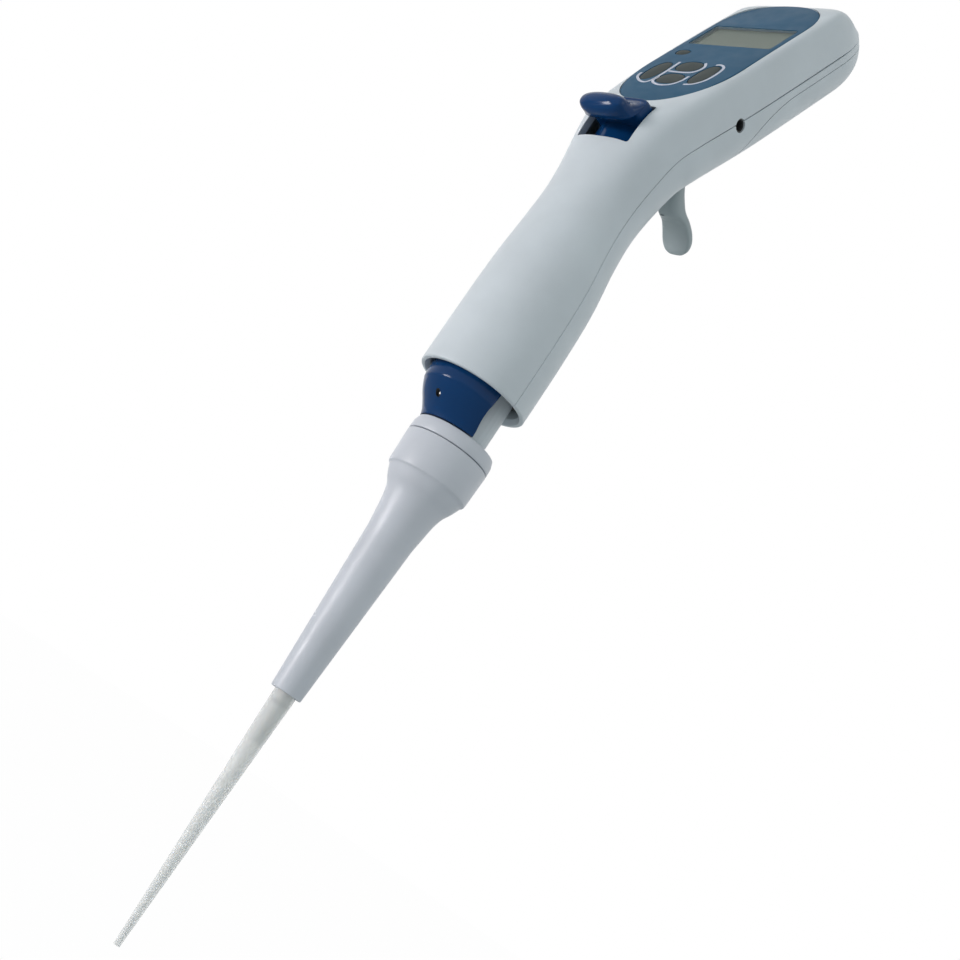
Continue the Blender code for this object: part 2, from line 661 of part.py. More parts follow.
def battery_cover():
    cover = half_shell("battery_cover", -1, SHELL)
    keep = cover_region("cover_keep", -GAP / 2, HEAD_HALF_WIDTH + BITE * 2)
    return combine(cover, [keep], "INTERSECT")


def housing_screws():
    """Two screws, hidden by the battery cover, that pull the back housing to the front one."""
    head = COVER_LINE - GAP / 2
    point = TOP_BOSS_END - 4.6
    profile = [(0, head - 1.0), (SCREW_HEAD, head - 1.0), (SCREW_HEAD, head), (SCREW_SHANK, head),
               (SCREW_SHANK, point), (0, point)]
    for side, sign in (("left", -1), ("right", 1)):
        turned(f"housing_screw_{side}", profile, STEEL, head_frame, screw_place(sign), 16)


# Controls

def key_places():
    """Each key's name, middle, half width and half length in the panel's plane."""
    return (
        ("key_left", KEYS_MIDDLE - SIDE_KEY_OFFSET, SIDE_KEY_PLACE, SIDE_KEY_WIDTH / 2, SIDE_KEY_LENGTH / 2),
        ("key_right", KEYS_MIDDLE + SIDE_KEY_OFFSET, SIDE_KEY_PLACE, SIDE_KEY_WIDTH / 2, SIDE_KEY_LENGTH / 2),
        ("key_upper", KEYS_MIDDLE, UPPER_KEY_PLACE, CENTRE_KEY_WIDTH / 2, CENTRE_KEY_LENGTH / 2),
        ("key_lower", KEYS_MIDDLE, LOWER_KEY_PLACE, CENTRE_KEY_WIDTH / 2, CENTRE_KEY_LENGTH / 2),
        ("key_menu", MENU_KEY_OFFSET, MENU_KEY_PLACE, MENU_KEY_WIDTH / 2, MENU_KEY_LENGTH / 2),
    )


def control_panel():
    panel = prism("control_panel", panel_outline(0.0), PANEL_BACK, -PANEL_SINK, PANEL_BLUE, head_frame)
    half_width, half_length = DISPLAY_WIDTH / 2, DISPLAY_LENGTH / 2
    cutters = [prism("display_opening", rounded_box(half_width, half_length, 1.0), PANEL_BACK - BITE, BITE,
                     None, head_frame)]
    for name, across, along, half_x, half_y in key_places():
        outline = oval(half_x + GAP, half_y + GAP, 2.3, 24, (across, along))
        cutters.append(prism(name + "_opening", outline, PANEL_BACK - BITE, BITE, None, head_frame))
    return cut(panel, *cutters)


def display():
    half_width, half_length = DISPLAY_WIDTH / 2 - GAP, DISPLAY_LENGTH / 2 - GAP
    prism("display_window", rounded_box(half_width, half_length, 0.8), PANEL_BACK, -PANEL_SINK - 0.1,
          CLEAR, head_frame)
    half_x, half_y = DISPLAY_WIDTH / 2 - 1.2, DISPLAY_LENGTH / 2 + 1.4
    prism("display_module", rounded_box(half_x, half_y, 0.5, 3), BOARD_FRONT + GAP, PANEL_BACK - GAP,
          DISPLAY_GREEN, head_frame)


def keys():
    for name, across, along, half_x, half_y in key_places():
        place = (across, along, 0)
        key = prism(name, oval(half_x, half_y, 2.3, 24), FLANGE_TOP - 0.2, -PANEL_SINK + 0.1, KEY_BROWN,
                    head_frame, place)
        flange = prism(name + "_flange", oval(half_x + FLANGE_SPREAD, half_y + FLANGE_SPREAD, 2.3, 24),
                       FLANGE_TOP - FLANGE_THICKNESS, FLANGE_TOP, None, head_frame, place)
        stem = cylinder(name + "_stem", STEM_RADIUS, STEM_BOTTOM, FLANGE_TOP - 0.2, None, head_frame, place, 12)
        join(key, flange, stem)


def key_membrane():
    top = SIDE_KEY_PLACE + MEMBRANE_END
    bottom = LOWER_KEY_PLACE - CENTRE_KEY_LENGTH / 2 - 1.6
    outline = rounded_box(MEMBRANE_HALF_WIDTH, (top - bottom) / 2, 1.5, 4, (0, (top + bottom) / 2))
    mat = prism("key_membrane", outline, MEMBRANE_BOTTOM, MEMBRANE_TOP, WHITE, head_frame)
    domes = []
    for name, across, along, half_x, half_y in key_places():
        profile = [(0, MEMBRANE_TOP - 0.3), (DOME_RADIUS, MEMBRANE_TOP - 0.3), (DOME_RADIUS - 0.4, DOME_TOP - 0.2),
                   (DOME_RADIUS / 2, DOME_TOP), (0, DOME_TOP)]
        domes.append(turned(name + "_dome", profile, None, head_frame, (across, along, 0), 16))
    join(mat, *domes)


def circuit_board():
    half_width = HEAD_HALF_WIDTH - WALL - 1.6
    top = HEAD_SHOULDER + 2.0
    outline = rounded_box(half_width, (top - BOARD_END) / 2, 5.0, 5, (0, (top + BOARD_END) / 2))
    prism("circuit_board", outline, BOARD_BACK, BOARD_FRONT, BOARD, head_frame)
    buzzer_top = BOARD_BACK - GAP
    buzzer_bottom = buzzer_top - 2.2
    turned("buzzer", [(0, buzzer_bottom), (BUZZER_RADIUS - 0.4, buzzer_bottom), (BUZZER_RADIUS, buzzer_bottom + 0.4),
                      (BUZZER_RADIUS, buzzer_top), (0, buzzer_top)], BLACK, head_frame, BUZZER_PLACE, 20)


# Power

def battery():
    half_width, half_length = BATTERY_WIDTH / 2, BATTERY_LENGTH / 2
    floor_back = BAY_FLOOR - BAY_THICKNESS
    wall_back = floor_back - BAY_DEPTH
    outer = rounded_box(half_width + GAP + 1.0, half_length + GAP + 1.0, 1.0, 4, (0, BATTERY_PLACE))
    inner = rounded_box(half_width + GAP, half_length + GAP, 0.6, 4, (0, BATTERY_PLACE))
    bay = prism("battery_bay", outer, wall_back, BAY_FLOOR, BLACK, head_frame)
    pocket = prism("bay_pocket", inner, wall_back - BITE, floor_back, None, head_frame)
    lead_way = box("bay_lead_way", (-3.0, BATTERY_PLACE + half_length - 4.0, floor_back - BITE),
                   (3.0, BATTERY_PLACE + half_length - 1.0, BAY_FLOOR + BITE), None, head_frame)
    cut(bay, pocket, lead_way)
    pack_front = floor_back - GAP
    prism("battery_pack", rounded_box(half_width, half_length, 2.0, 5, (0, BATTERY_PLACE)),
          pack_front - BATTERY_THICKNESS, pack_front, CELL, head_frame)
    box("battery_contacts", (-2.4, BATTERY_PLACE + half_length - 3.6, pack_front + GAP),
        (2.4, BATTERY_PLACE + half_length - 1.4, BOARD_BACK - GAP), BRASS, head_frame)
    place = (0, JACK_PLACE, -HEAD_HALF_DEPTH - JACK_DROP)
    socket = turn(tube("charging_jack", JACK_HOLE_RADIUS - 0.5, JACK_HOLE_RADIUS + 1.2, JACK_BACK, JACK_FACE, BLACK,
                       head_frame, place, 20), "Y", 90)
    plug = turn(cylinder("jack_back", JACK_HOLE_RADIUS, JACK_BACK - 0.8, JACK_BACK + 1.2, None, head_frame, place, 20),
                "Y", 90)
    pin = turn(cylinder("jack_pin", 0.5, JACK_BACK + 0.6, JACK_FACE - 1.5, None, head_frame, place, 12), "Y", 90)
    join(socket, plug, pin)


# Trigger

def trigger():
    """A finger lever: a hub on the pin, a neck through the shell and a broad rounded pad."""
    rows = (
        # distance from the pivot, half width, half thickness, sag of the middle
        (TRIGGER_HUB - 0.6, TRIGGER_NECK_HALF_WIDTH, 1.6, 0.0),
        (8.0, TRIGGER_NECK_HALF_WIDTH, 1.8, 0.0),
        (11.5, TRIGGER_NECK_HALF_WIDTH + 0.1, TRIGGER_HALF_THICKNESS - 0.3, 0.1),
        (15.5, TRIGGER_HALF_WIDTH - 0.4, TRIGGER_HALF_THICKNESS, 0.3),
        (21.0, TRIGGER_HALF_WIDTH, TRIGGER_HALF_THICKNESS, 0.2),
        (25.6, TRIGGER_HALF_WIDTH - 0.5, TRIGGER_HALF_THICKNESS - 0.1, -0.2),
        (TRIGGER_LENGTH - 1.0, TRIGGER_HALF_WIDTH - 2.2, TRIGGER_HALF_THICKNESS - 0.6, -0.5),
        (TRIGGER_LENGTH, TRIGGER_HALF_WIDTH - 4.0, TRIGGER_HALF_THICKNESS - 1.5, -0.6),
    )
    dish_start, dish_length = 9.0, 8.0
    loops = []
    for distance, half_x, half_z, rise in rows:
        deepness = min(max((distance - dish_start) / dish_length, 0.0), 1.0)
        dish = TRIGGER_DISH * deepness * half_z / TRIGGER_HALF_THICKNESS
        loops.append([(x, distance, z + rise + (dish * (1 - (x / half_x) ** 2) if z < 0 else 0.0))
                      for x, z in oval(half_x, half_z, 2.6, 24)])
    lever = loft("trigger", loops, TRIGGER_GREY, trigger_frame, sharp=60.0)
    hub = turn(cylinder("trigger_hub", TRIGGER_HUB, -TRIGGER_NECK_HALF_WIDTH, TRIGGER_HUB_END, None,
                        trigger_frame), "Y", 90)
    tail = box("trigger_tail", (-1.8, -TRIGGER_TAIL_END, -TRIGGER_TAIL_HALF),
               (TRIGGER_HUB_END - 0.2, -1.0, TRIGGER_TAIL_HALF), None, trigger_frame)
    bore = turn(cylinder("trigger_bore", TRIGGER_PIN_RADIUS + GAP, -8, 8, None, trigger_frame, sides=16), "Y", 90)
    join(lever, hub, tail)
    cut(lever, bore)

    half_pin = BRACKET_INSIDE + BRACKET_CHEEK + 0.4
    turn(cylinder("trigger_pin", TRIGGER_PIN_RADIUS, -half_pin, half_pin, STEEL, trigger_frame, sides=16), "Y", 90)

    outside = BRACKET_INSIDE + BRACKET_CHEEK
    low, high, end = -3.4, 3.6, 1.9
    bracket = box("trigger_bracket", (-outside, -BRACKET_PLATE - BRACKET_PLATE_THICKNESS, low), (outside, end, high),
                  BLACK, trigger_frame)
    hollow = box("bracket_hollow", (-BRACKET_INSIDE, -BRACKET_PLATE, low - BITE),
                 (BRACKET_INSIDE, end + BITE, high + BITE), None, trigger_frame)
    holes = turn(cylinder("bracket_holes", TRIGGER_PIN_RADIUS + GAP / 2, -9, 9, None, trigger_frame, sides=16), "Y", 90)
    cut(bracket, hollow, holes)

    # The switch stands out of the bracket's plate, where the trigger's tail presses its button
    press_height = TRIGGER_TAIL_HALF + TRIGGER_TAIL_END * math.sin(math.radians(TRIGGER_SWING))
    switch = box("trigger_switch", (-2.6, -BRACKET_PLATE + GAP, press_height + 0.6), (2.6, -3.4, 3.4), BLACK,
                 trigger_frame)
    button = box("switch_button", (-1.0, -TRIGGER_TAIL_END, press_height + 0.05), (1.0, -3.8, press_height + 1.0), None,
                 trigger_frame)
    join(switch, button)

    spring = helix("trigger_spring", TRIGGER_PIN_RADIUS + 0.5, 0.15, TRIGGER_HUB_END + GAP, BRACKET_INSIDE - GAP, 3.0,
                   STEEL, trigger_frame)
    turn(spring, "Y", 90)


# Drive

def chassis():
    """A base plate across the handle, with a column at the front that holds the ejector spring's ledge."""
    radius = HANDLE_RADIUS - WALL - 0.5
    plate = cylinder("chassis", radius, CHASSIS_BOTTOM, CHASSIS_TOP, BLACK, axis_frame, (0, -HANDLE_FORWARD, 0), 28)
    column = box("chassis_column", (-4.5, -COLUMN_FRONT, CHASSIS_TOP - BITE), (4.5, -COLUMN_BACK, LEDGE_TOP - 0.4),
                 None, axis_frame)
    ledge = box("chassis_ledge", (-3.6, -ROD_FORWARD - 2.8, LEDGE_BOTTOM), (3.6, -COLUMN_BACK - 0.6, LEDGE_TOP), None,
                axis_frame)
    rod_way = cylinder("rod_way", ROD_RADIUS + GAP, CHASSIS_BOTTOM - BITE, LEDGE_TOP + BITE, None, axis_frame,
                       (0, -ROD_FORWARD, 0), 16)
    screw_way = cylinder("screw_way", SCREW_RADIUS + 0.8, CHASSIS_BOTTOM - BITE, CHASSIS_TOP + BITE, None,
                         axis_frame, sides=20)
    screw_height = (0, 0, CHASSIS_BOTTOM + CHASSIS_PLATE / 2)
    rim_pilot = turn(cylinder("rim_pilot", SCREW_SHANK + GAP / 2, RIM_SCREW_SEAT - 5.3, RIM_SCREW_SEAT + 4.5, None,
                              axis_frame, screw_height, 16), "X", -90)
    pilots = [cylinder(f"motor_pilot_{sign}", SCREW_HOLE, CHASSIS_BOTTOM + 0.8, CHASSIS_TOP + BITE, None, axis_frame,
                       (sign * MOTOR_SCREW_OFFSET, 0, 0), 12) for sign in (-1, 1)]
    join(plate, column, ledge)
    cut(plate, rod_way, screw_way, rim_pilot, *pilots)

    point, seat = RIM_SCREW_SEAT - 4.7, RIM_SCREW_SEAT + GAP / 2
    top = RIM_SCREW_SEAT + 0.8
    profile = [(0, point), (SCREW_SHANK, point), (SCREW_SHANK, seat), (SCREW_HEAD, seat), (SCREW_HEAD, top), (0, top)]
    turn(turned("chassis_screw", profile, STEEL, axis_frame, screw_height, 16), "X", -90)


def motor():
    """A stepper motor: a can with two ears, a stator, a nut that turns inside, and a cap."""
    can_top = MOTOR_TOP - MOTOR_CAP
    inner = MOTOR_RADIUS - MOTOR_WALL
    profile = [(SCREW_RADIUS + 0.8, MOTOR_BOTTOM), (MOTOR_RADIUS, MOTOR_BOTTOM), (MOTOR_RADIUS, can_top),
               (inner, can_top), (inner, MOTOR_BOTTOM + MOTOR_WALL), (SCREW_RADIUS + 0.8, MOTOR_BOTTOM + MOTOR_WALL)]
    can = turned("motor_housing", profile, STEEL, axis_frame)
    ears = []
    for sign in (-1, 1):
        ears.append(box(f"motor_ear_{sign}", (sign * MOTOR_SCREW_OFFSET - EAR_HALF, -EAR_HALF, MOTOR_BOTTOM),
                        (sign * MOTOR_SCREW_OFFSET + EAR_HALF, EAR_HALF, MOTOR_BOTTOM + EAR_THICKNESS), None,
                        axis_frame))
    bores = [cylinder(f"ear_hole_{sign}", SCREW_HOLE, MOTOR_BOTTOM - BITE, MOTOR_BOTTOM + EAR_THICKNESS + BITE, None,
                      axis_frame, (sign * MOTOR_SCREW_OFFSET, 0, 0), 12) for sign in (-1, 1)]
    hollow = cylinder("can_hollow", inner - 0.2, MOTOR_BOTTOM + MOTOR_WALL, can_top - BITE, None, axis_frame)
    join(can, *ears)
    cut(can, *bores, hollow)
    tube("stator_coils", STATOR_INNER, inner - GAP, MOTOR_BOTTOM + MOTOR_WALL + GAP, can_top - 1.2, COPPER, axis_frame)
    tube("rotor_nut", SCREW_RADIUS + GAP, ROTOR_RADIUS, MOTOR_BOTTOM + MOTOR_WALL + GAP, can_top - 0.8, BRASS,
         axis_frame)
    cap = [(SCREW_RADIUS + 0.8, can_top + GAP), (MOTOR_RADIUS, can_top + GAP), (MOTOR_RADIUS, MOTOR_TOP - 0.8),
           (MOTOR_BOSS_RADIUS, MOTOR_TOP - 0.8), (MOTOR_BOSS_RADIUS, MOTOR_TOP), (SCREW_RADIUS + 0.8, MOTOR_TOP)]
    turned("motor_cap", cap, BLACK, axis_frame)


def motor_screws():
    head = MOTOR_BOTTOM + EAR_THICKNESS + GAP
    profile = [(0, CHASSIS_BOTTOM + 1.2), (SCREW_SHANK, CHASSIS_BOTTOM + 1.2), (SCREW_SHANK, head),
               (MOTOR_SCREW_HEAD, head), (MOTOR_SCREW_HEAD, head + 0.9), (0, head + 0.9)]
    for side, sign in (("left", -1), ("right", 1)):
        turned(f"motor_screw_{side}", profile, STEEL, axis_frame, (sign * MOTOR_SCREW_OFFSET, 0, 0), 16)


# Liquid end

def tip_outer(height):
    """The tip's outer radius: a straight taper from its neck to its end."""
    share = (height - TIP_END) / (TIP_TOP - TIP_END)
    return TIP_END_RADIUS + (TIP_NECK_RADIUS - TIP_END_RADIUS) * share


def piston_and_screw():
    groove_low = PISTON_BOTTOM + 2.4
    groove_high = groove_low + SEAL_HEIGHT
    top = PISTON_BOTTOM + PISTON_LENGTH
    body = PISTON_RADIUS - 0.4
    groove = body - 1.1
    profile = [(0, PISTON_BOTTOM), (body - 0.4, PISTON_BOTTOM), (body, PISTON_BOTTOM + 0.4), (body, groove_low),
               (groove, groove_low), (groove, groove_high), (body, groove_high), (body, top), (0, top)]
    turned("piston", profile, WHITE, axis_frame)
    tube("piston_seal", groove + GAP, PISTON_RADIUS, groove_low + GAP, groove_high - GAP, RUBBER, axis_frame)
    cylinder("lead_screw", SCREW_RADIUS, top + GAP, MOTOR_TOP + PISTON_STROKE * 0.4, STEEL, axis_frame, sides=20)


def barrel():
    guide = SCREW_RADIUS + GAP * 1.5
    end_radius = BORE_RADIUS + 0.95
    profile = [
        (CHANNEL_RADIUS, BORE_BOTTOM - 1.2), (end_radius, BORE_BOTTOM - 1.2), (end_radius, BARREL_SHOULDER - 0.4),
        (BARREL_RADIUS, BARREL_SHOULDER + 1.2), (BARREL_RADIUS, NUT_BOTTOM - GAP), (BARREL_NECK_RADIUS, NUT_BOTTOM - GAP),
        (BARREL_NECK_RADIUS, BARREL_NECK_TOP), (guide, BARREL_NECK_TOP), (guide, BORE_TOP), (BORE_RADIUS, BORE_TOP),
        (BORE_RADIUS, BORE_BOTTOM), (CHANNEL_RADIUS, BORE_BOTTOM),
    ]
    turned("barrel", profile, SHELL, axis_frame, sides=28)
    tube("coupling_nut", BARREL_NECK_RADIUS + GAP, NUT_RADIUS, NUT_BOTTOM, NUT_TOP, BLACK, axis_frame)


def nozzle_outer(height):
    """Inside the sleeve the nozzle keeps clear of it, and below it the nozzle fits the tip."""
    return sleeve_outer(height) - SLEEVE_WALL - 0.5


def nozzle():
    ring_top, ring_bottom = O_RING_PLACE + O_RING_HALF, O_RING_PLACE - O_RING_HALF
    shoulder = NOZZLE_TOP - 3.0
    seat = tip_outer(O_RING_PLACE) - TIP_WALL - 0.25
    end = tip_outer(NOZZLE_END) - TIP_WALL - 0.3
    waist = tip_outer(TIP_TOP - 1.0) - TIP_WALL - 0.3
    profile = [
        (CHANNEL_RADIUS, NOZZLE_TOP), (nozzle_outer(shoulder), NOZZLE_TOP), (nozzle_outer(shoulder), shoulder),
        (nozzle_outer(SLEEVE_TOP - 1.0), SLEEVE_TOP - 1.0), (nozzle_outer(TIP_TOP + 20.0), TIP_TOP + 20.0),
        (waist, TIP_TOP + 3.4), (waist, TIP_TOP - 1.0), (seat, ring_top),
        (seat - 0.6, ring_top), (seat - 0.6, ring_bottom), (seat, ring_bottom),
        (end, NOZZLE_END + 0.4), (end - 0.3, NOZZLE_END), (CHANNEL_RADIUS, NOZZLE_END),
    ]
    turned("nozzle", profile, WHITE, axis_frame, sides=20)
    tube("nozzle_o_ring", seat - 0.4, seat + 0.1, ring_bottom + 0.2, ring_top - 0.2, RUBBER, axis_frame, sides=20)


def pipette_tip():
    inner_top = tip_outer(TIP_TOP) - TIP_WALL
    rim = TIP_TOP - TIP_RIM_LENGTH
    profile = [
        (inner_top, TIP_TOP), (TIP_RIM_RADIUS, TIP_TOP), (TIP_RIM_RADIUS, rim), (tip_outer(rim - 0.6), rim - 0.6),
        (TIP_END_RADIUS, TIP_END), (TIP_END_RADIUS - 0.3, TIP_END),
        (tip_outer(TIP_END + 12.0) - TIP_WALL, TIP_END + 12.0),
    ]
    turned("pipette_tip", profile, CLEAR, axis_frame, sides=28)


# Ejector

def sleeve_outer(height):
    """The sleeve's long taper below the collar's shoulder."""
    share = (height + SLEEVE_LENGTH) / (SLEEVE_TOP + SLEEVE_LENGTH)
    return SLEEVE_END_RADIUS + (SLEEVE_TOP_RADIUS - SLEEVE_END_RADIUS) * share


def ejector_sleeve():
    seam = GAP / 2
    shoulder = [(COLLAR_RADIUS, -seam - 0.3), (COLLAR_BOTTOM_RADIUS, -COLLAR_DEPTH + 1.2),
                (COLLAR_BOTTOM_RADIUS - 0.5, -COLLAR_DEPTH), (9.6, -12.6), (8.3, -15.0), (7.5, -18.0), (6.95, -22.0)]
    outside = [(COLLAR_RADIUS - 0.3, -seam)] + shoulder + [(sleeve_outer(h), h) for h in (SLEEVE_TOP, -40.0, -56.0)]
    outside += [(SLEEVE_END_RADIUS, -SLEEVE_LENGTH + 0.3), (SLEEVE_END_RADIUS - 0.2, -SLEEVE_LENGTH)]
    step = TIP_TOP + GAP
    mouth = TIP_RIM_RADIUS + GAP
    inside = [(mouth, -SLEEVE_LENGTH), (mouth, step), (tip_outer(TIP_TOP) - 0.3, step)]
    inside += [(sleeve_outer(h) - SLEEVE_WALL, h) for h in (TIP_TOP + 6.0, SLEEVE_TOP)]
    inside += [(BORE_RADIUS + 1.4, -19.0), (BORE_RADIUS + 1.4, -13.0),
               (BARREL_RADIUS + 0.9, -10.4), (COLLAR_RADIUS - COLLAR_WALL, -7.0),
               (COLLAR_RADIUS - COLLAR_WALL, -seam)]
    turned("ejector_sleeve", outside + inside, COLLAR, axis_frame, sides=32)

    inner = BARREL_RADIUS + 0.5
    ring = [(inner, seam), (COLLAR_RADIUS - 0.3, seam), (COLLAR_RADIUS, seam + 0.3), (COLLAR_RADIUS - 0.1, 2.6),
            (COLLAR_TOP_RADIUS, RING_HEIGHT - 0.4), (COLLAR_TOP_RADIUS - 0.4, RING_HEIGHT), (inner, RING_HEIGHT)]
    turned("ejector_ring", ring, COLLAR, axis_frame, sides=32)


def ejector_skirt():
    """The blue shield in front of the barrel: it flares from the ring up into the handle."""
    top_outer = HANDLE_RADIUS - WALL - SKIRT_CLEARANCE
    bottom_outer = COLLAR_TOP_RADIUS - 0.1
    rows = (
        # height, share of the flare, spread to each side
        (RING_HEIGHT + GAP, 0.0, 62.0), (6.0, 0.12, 63.5), (8.0, 0.38, 66.0), (10.0, 0.68, 70.0),
        (12.0, 0.9, 74.0), (14.0, 1.0, 77.0), (SKIRT_TOP, 1.0, 80.0),
    )
    loops = []
    for height, flare, spread in rows:
        outer = bottom_outer + (top_outer - bottom_outer) * flare
        forward = HANDLE_FORWARD * flare
        loops.append([(x, y, height) for x, y in arc_band(outer - SKIRT_THICKNESS, outer, spread, forward, 17)])
    skirt = loft("ejector_skirt", loops, NAVY, axis_frame, sharp=50.0)
    front = -HANDLE_FORWARD - top_outer + SKIRT_THICKNESS / 2
    bridge = box("skirt_bridge", (-3.2, front, SKIRT_TOP - 2.4), (3.2, -ROD_FORWARD + 2.2, SKIRT_TOP), None, axis_frame)
    hole = turn(cylinder("skirt_hole", 0.75, 9.0, 20.0, None, axis_frame, (0.0, 0.0, 9.0), 16), "X", 90)
    join(skirt, bridge)
    cut(skirt, hole)


def ejector_rod():
    profile = [(0, SKIRT_TOP + GAP), (ROD_RADIUS, SKIRT_TOP + GAP), (ROD_RADIUS, ROD_COLLAR_BOTTOM),
               (ROD_COLLAR_RADIUS, ROD_COLLAR_BOTTOM), (ROD_COLLAR_RADIUS, ROD_COLLAR_TOP), (ROD_RADIUS, ROD_COLLAR_TOP), (ROD_RADIUS, ROD_TOP),
               (0, ROD_TOP)]
    turned("ejector_rod", profile, STEEL, axis_frame, (0, -ROD_FORWARD, 0), 16)
    helix("ejector_spring", 2.25, 0.3, LEDGE_TOP + GAP, ROD_COLLAR_BOTTOM - GAP, 6.0, STEEL, axis_frame,
          (0, -ROD_FORWARD, 0))


def thumb_lever():
    """The blue lever: a block that fills the window and a broad tongue that slopes out of it."""
    window_y = -HANDLE_FORWARD - WAIST_RADIUS - 0.2
    top = WINDOW_TOP - 0.4
    bottom = top - LEVER_THICKNESS
    # The lever's sides follow the window's, so that it clears them at the end of its stroke
    half_top = window_half(top - EJECT_STROKE) - GAP
    half_bottom = window_half(bottom - EJECT_STROKE) - GAP
    rows = []
    for share, width, low, high in (
            (0.0, 1.0, 0.0, -0.4), (0.12, 0.99, -0.2, -1.0), (0.24, 0.96, -2.4, -1.6), (0.38, 0.92, -3.3, -2.2),
            (0.56, 0.86, -3.6, -2.7), (0.75, 0.79, -3.4, -3.3), (0.9, 0.7, -2.7, -4.5), (1.0, 0.56, -1.4, -6.2)):
        rows.append((window_y - LEVER_REACH * share, width, bottom + low, top + high))
    loops = []
    for y, width, low, high in [(-ROD_FORWARD + 2.9, 1.0, bottom, top)] + rows:
        half_height = (high - low) / 2
        loop = []
        squareness = 3.0 + 3.0 * max(0.0, (width - 0.8) / 0.2)
        for x, z in oval(width, half_height, squareness, 28):
            half_x = half_bottom + (half_top - half_bottom) * (z / half_height + 1) / 2
            loop.append((x * half_x, y, z + (low + high) / 2))
        loops.append(loop)
    lever = loft("thumb_lever", loops, NAVY, axis_frame, sharp=60.0)
    shield_outer = WAIST_RADIUS - WALL - GAP / 2
    shield_outline = arc_band(shield_outer - SHIELD_THICKNESS, shield_outer, SHIELD_SPREAD, WAIST_FORWARD - 0.4, 12)
    shield = prism("lever_shield", shield_outline, ROD_TOP + GAP, bottom + 1.5, None, axis_frame)
    foot = box("lever_foot", (-3.0, -ROD_FORWARD - 2.1, ROD_TOP + GAP), (3.0, -ROD_FORWARD + 2.6, bottom + 1.0), None,
               axis_frame)
    join(lever, shield, foot)


front_housing()
back_housing()
battery_cover()
housing_screws()
control_panel()
display()
keys()
key_membrane()
circuit_board()
battery()
trigger()
chassis()
motor()
motor_screws()
piston_and_screw()
barrel()
nozzle()
pipette_tip()
ejector_sleeve()
ejector_skirt()
ejector_rod()
thumb_lever()
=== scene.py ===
# Hand-held electronic pipette, dressed for a studio picture.
# It stands upright, tip down, and its display faces -Y. Lengths are millimetres, except in the studio.

import json
import math

import bmesh
import bpy
from mathutils import Matrix, Vector


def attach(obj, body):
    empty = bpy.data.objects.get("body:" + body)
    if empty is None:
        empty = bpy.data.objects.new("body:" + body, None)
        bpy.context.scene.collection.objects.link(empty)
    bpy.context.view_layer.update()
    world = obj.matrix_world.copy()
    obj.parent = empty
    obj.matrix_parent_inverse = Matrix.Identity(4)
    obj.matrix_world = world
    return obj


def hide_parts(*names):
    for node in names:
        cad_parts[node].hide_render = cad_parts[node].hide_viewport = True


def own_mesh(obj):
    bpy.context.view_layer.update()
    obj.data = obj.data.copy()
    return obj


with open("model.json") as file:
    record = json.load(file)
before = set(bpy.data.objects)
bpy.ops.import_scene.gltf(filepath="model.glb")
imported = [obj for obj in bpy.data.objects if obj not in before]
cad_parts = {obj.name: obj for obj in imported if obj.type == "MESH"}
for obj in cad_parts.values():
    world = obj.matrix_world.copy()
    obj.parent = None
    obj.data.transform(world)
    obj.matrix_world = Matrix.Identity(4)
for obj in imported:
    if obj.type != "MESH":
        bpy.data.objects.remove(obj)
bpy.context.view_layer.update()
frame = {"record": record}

MM = 0.001

# Sizes of the whole, the same as the solids'
GRIP = 54.0                # the origin's height above the collar's seam
GAP = 0.3
WALL = 2.0

# Sizes of the head, the handle and the waist between them
LEAN = math.radians(24.7)
DISPLAY_HEIGHT = 147.6
DISPLAY_SETBACK = 5.1
HEAD_HALF_WIDTH = 18.1
HEAD_HALF_DEPTH = 12.6
HEAD_SHOULDER = 20.0
HEAD_END = 23.0
NECK_PLACE = -44.0
HANDLE_BOTTOM = 15.8
HANDLE_RADIUS = 15.2
HANDLE_FORWARD = 4.7
WAIST_RADIUS = 13.1
WAIST_FORWARD = 5.4
WAIST_HEIGHT = 74.0
WINDOW_BOTTOM = 89.3
WINDOW_TOP = 102.6
WINDOW_HALF = 8.6
WINDOW_FLARE = 0.04
WINDOW_ROUND = 0.9
SCREW_HEIGHT = 26.2

# How the shell narrows to its end, and how its edges are eased
END_WIDTH_POWER = 0.86
END_FRONT_POWER = 2.4
END_SQUARE_FALL = 12
END_TURN = math.radians(88.5)
END_STEPS = 22
SECTION_STEPS = 8
OUTLINE_STEPS = 60
RIM_ROUND = 0.45
RIM_STEPS = 4
RIM_THINNING = 0.9
SEAM_HALF = 0.05
SEAM_ROUND = 0.16
SEAM_NUDGE = 1e-9

# Sizes of the battery cover and the charging jack, measured from the display's centre
COVER_LINE = -14.7
COVER_START = -31.0
COVER_ROUND = 15.3
COVER_SWEEP = 1.9
COVER_SEAM = 0.1
COVER_STEPS = 24
JACK_INSIDE = 4.0
JACK_PLACE = -27.6
JACK_DROP = 0.6
JACK_HOLE_RADIUS = 1.9
JACK_SIDES = 40

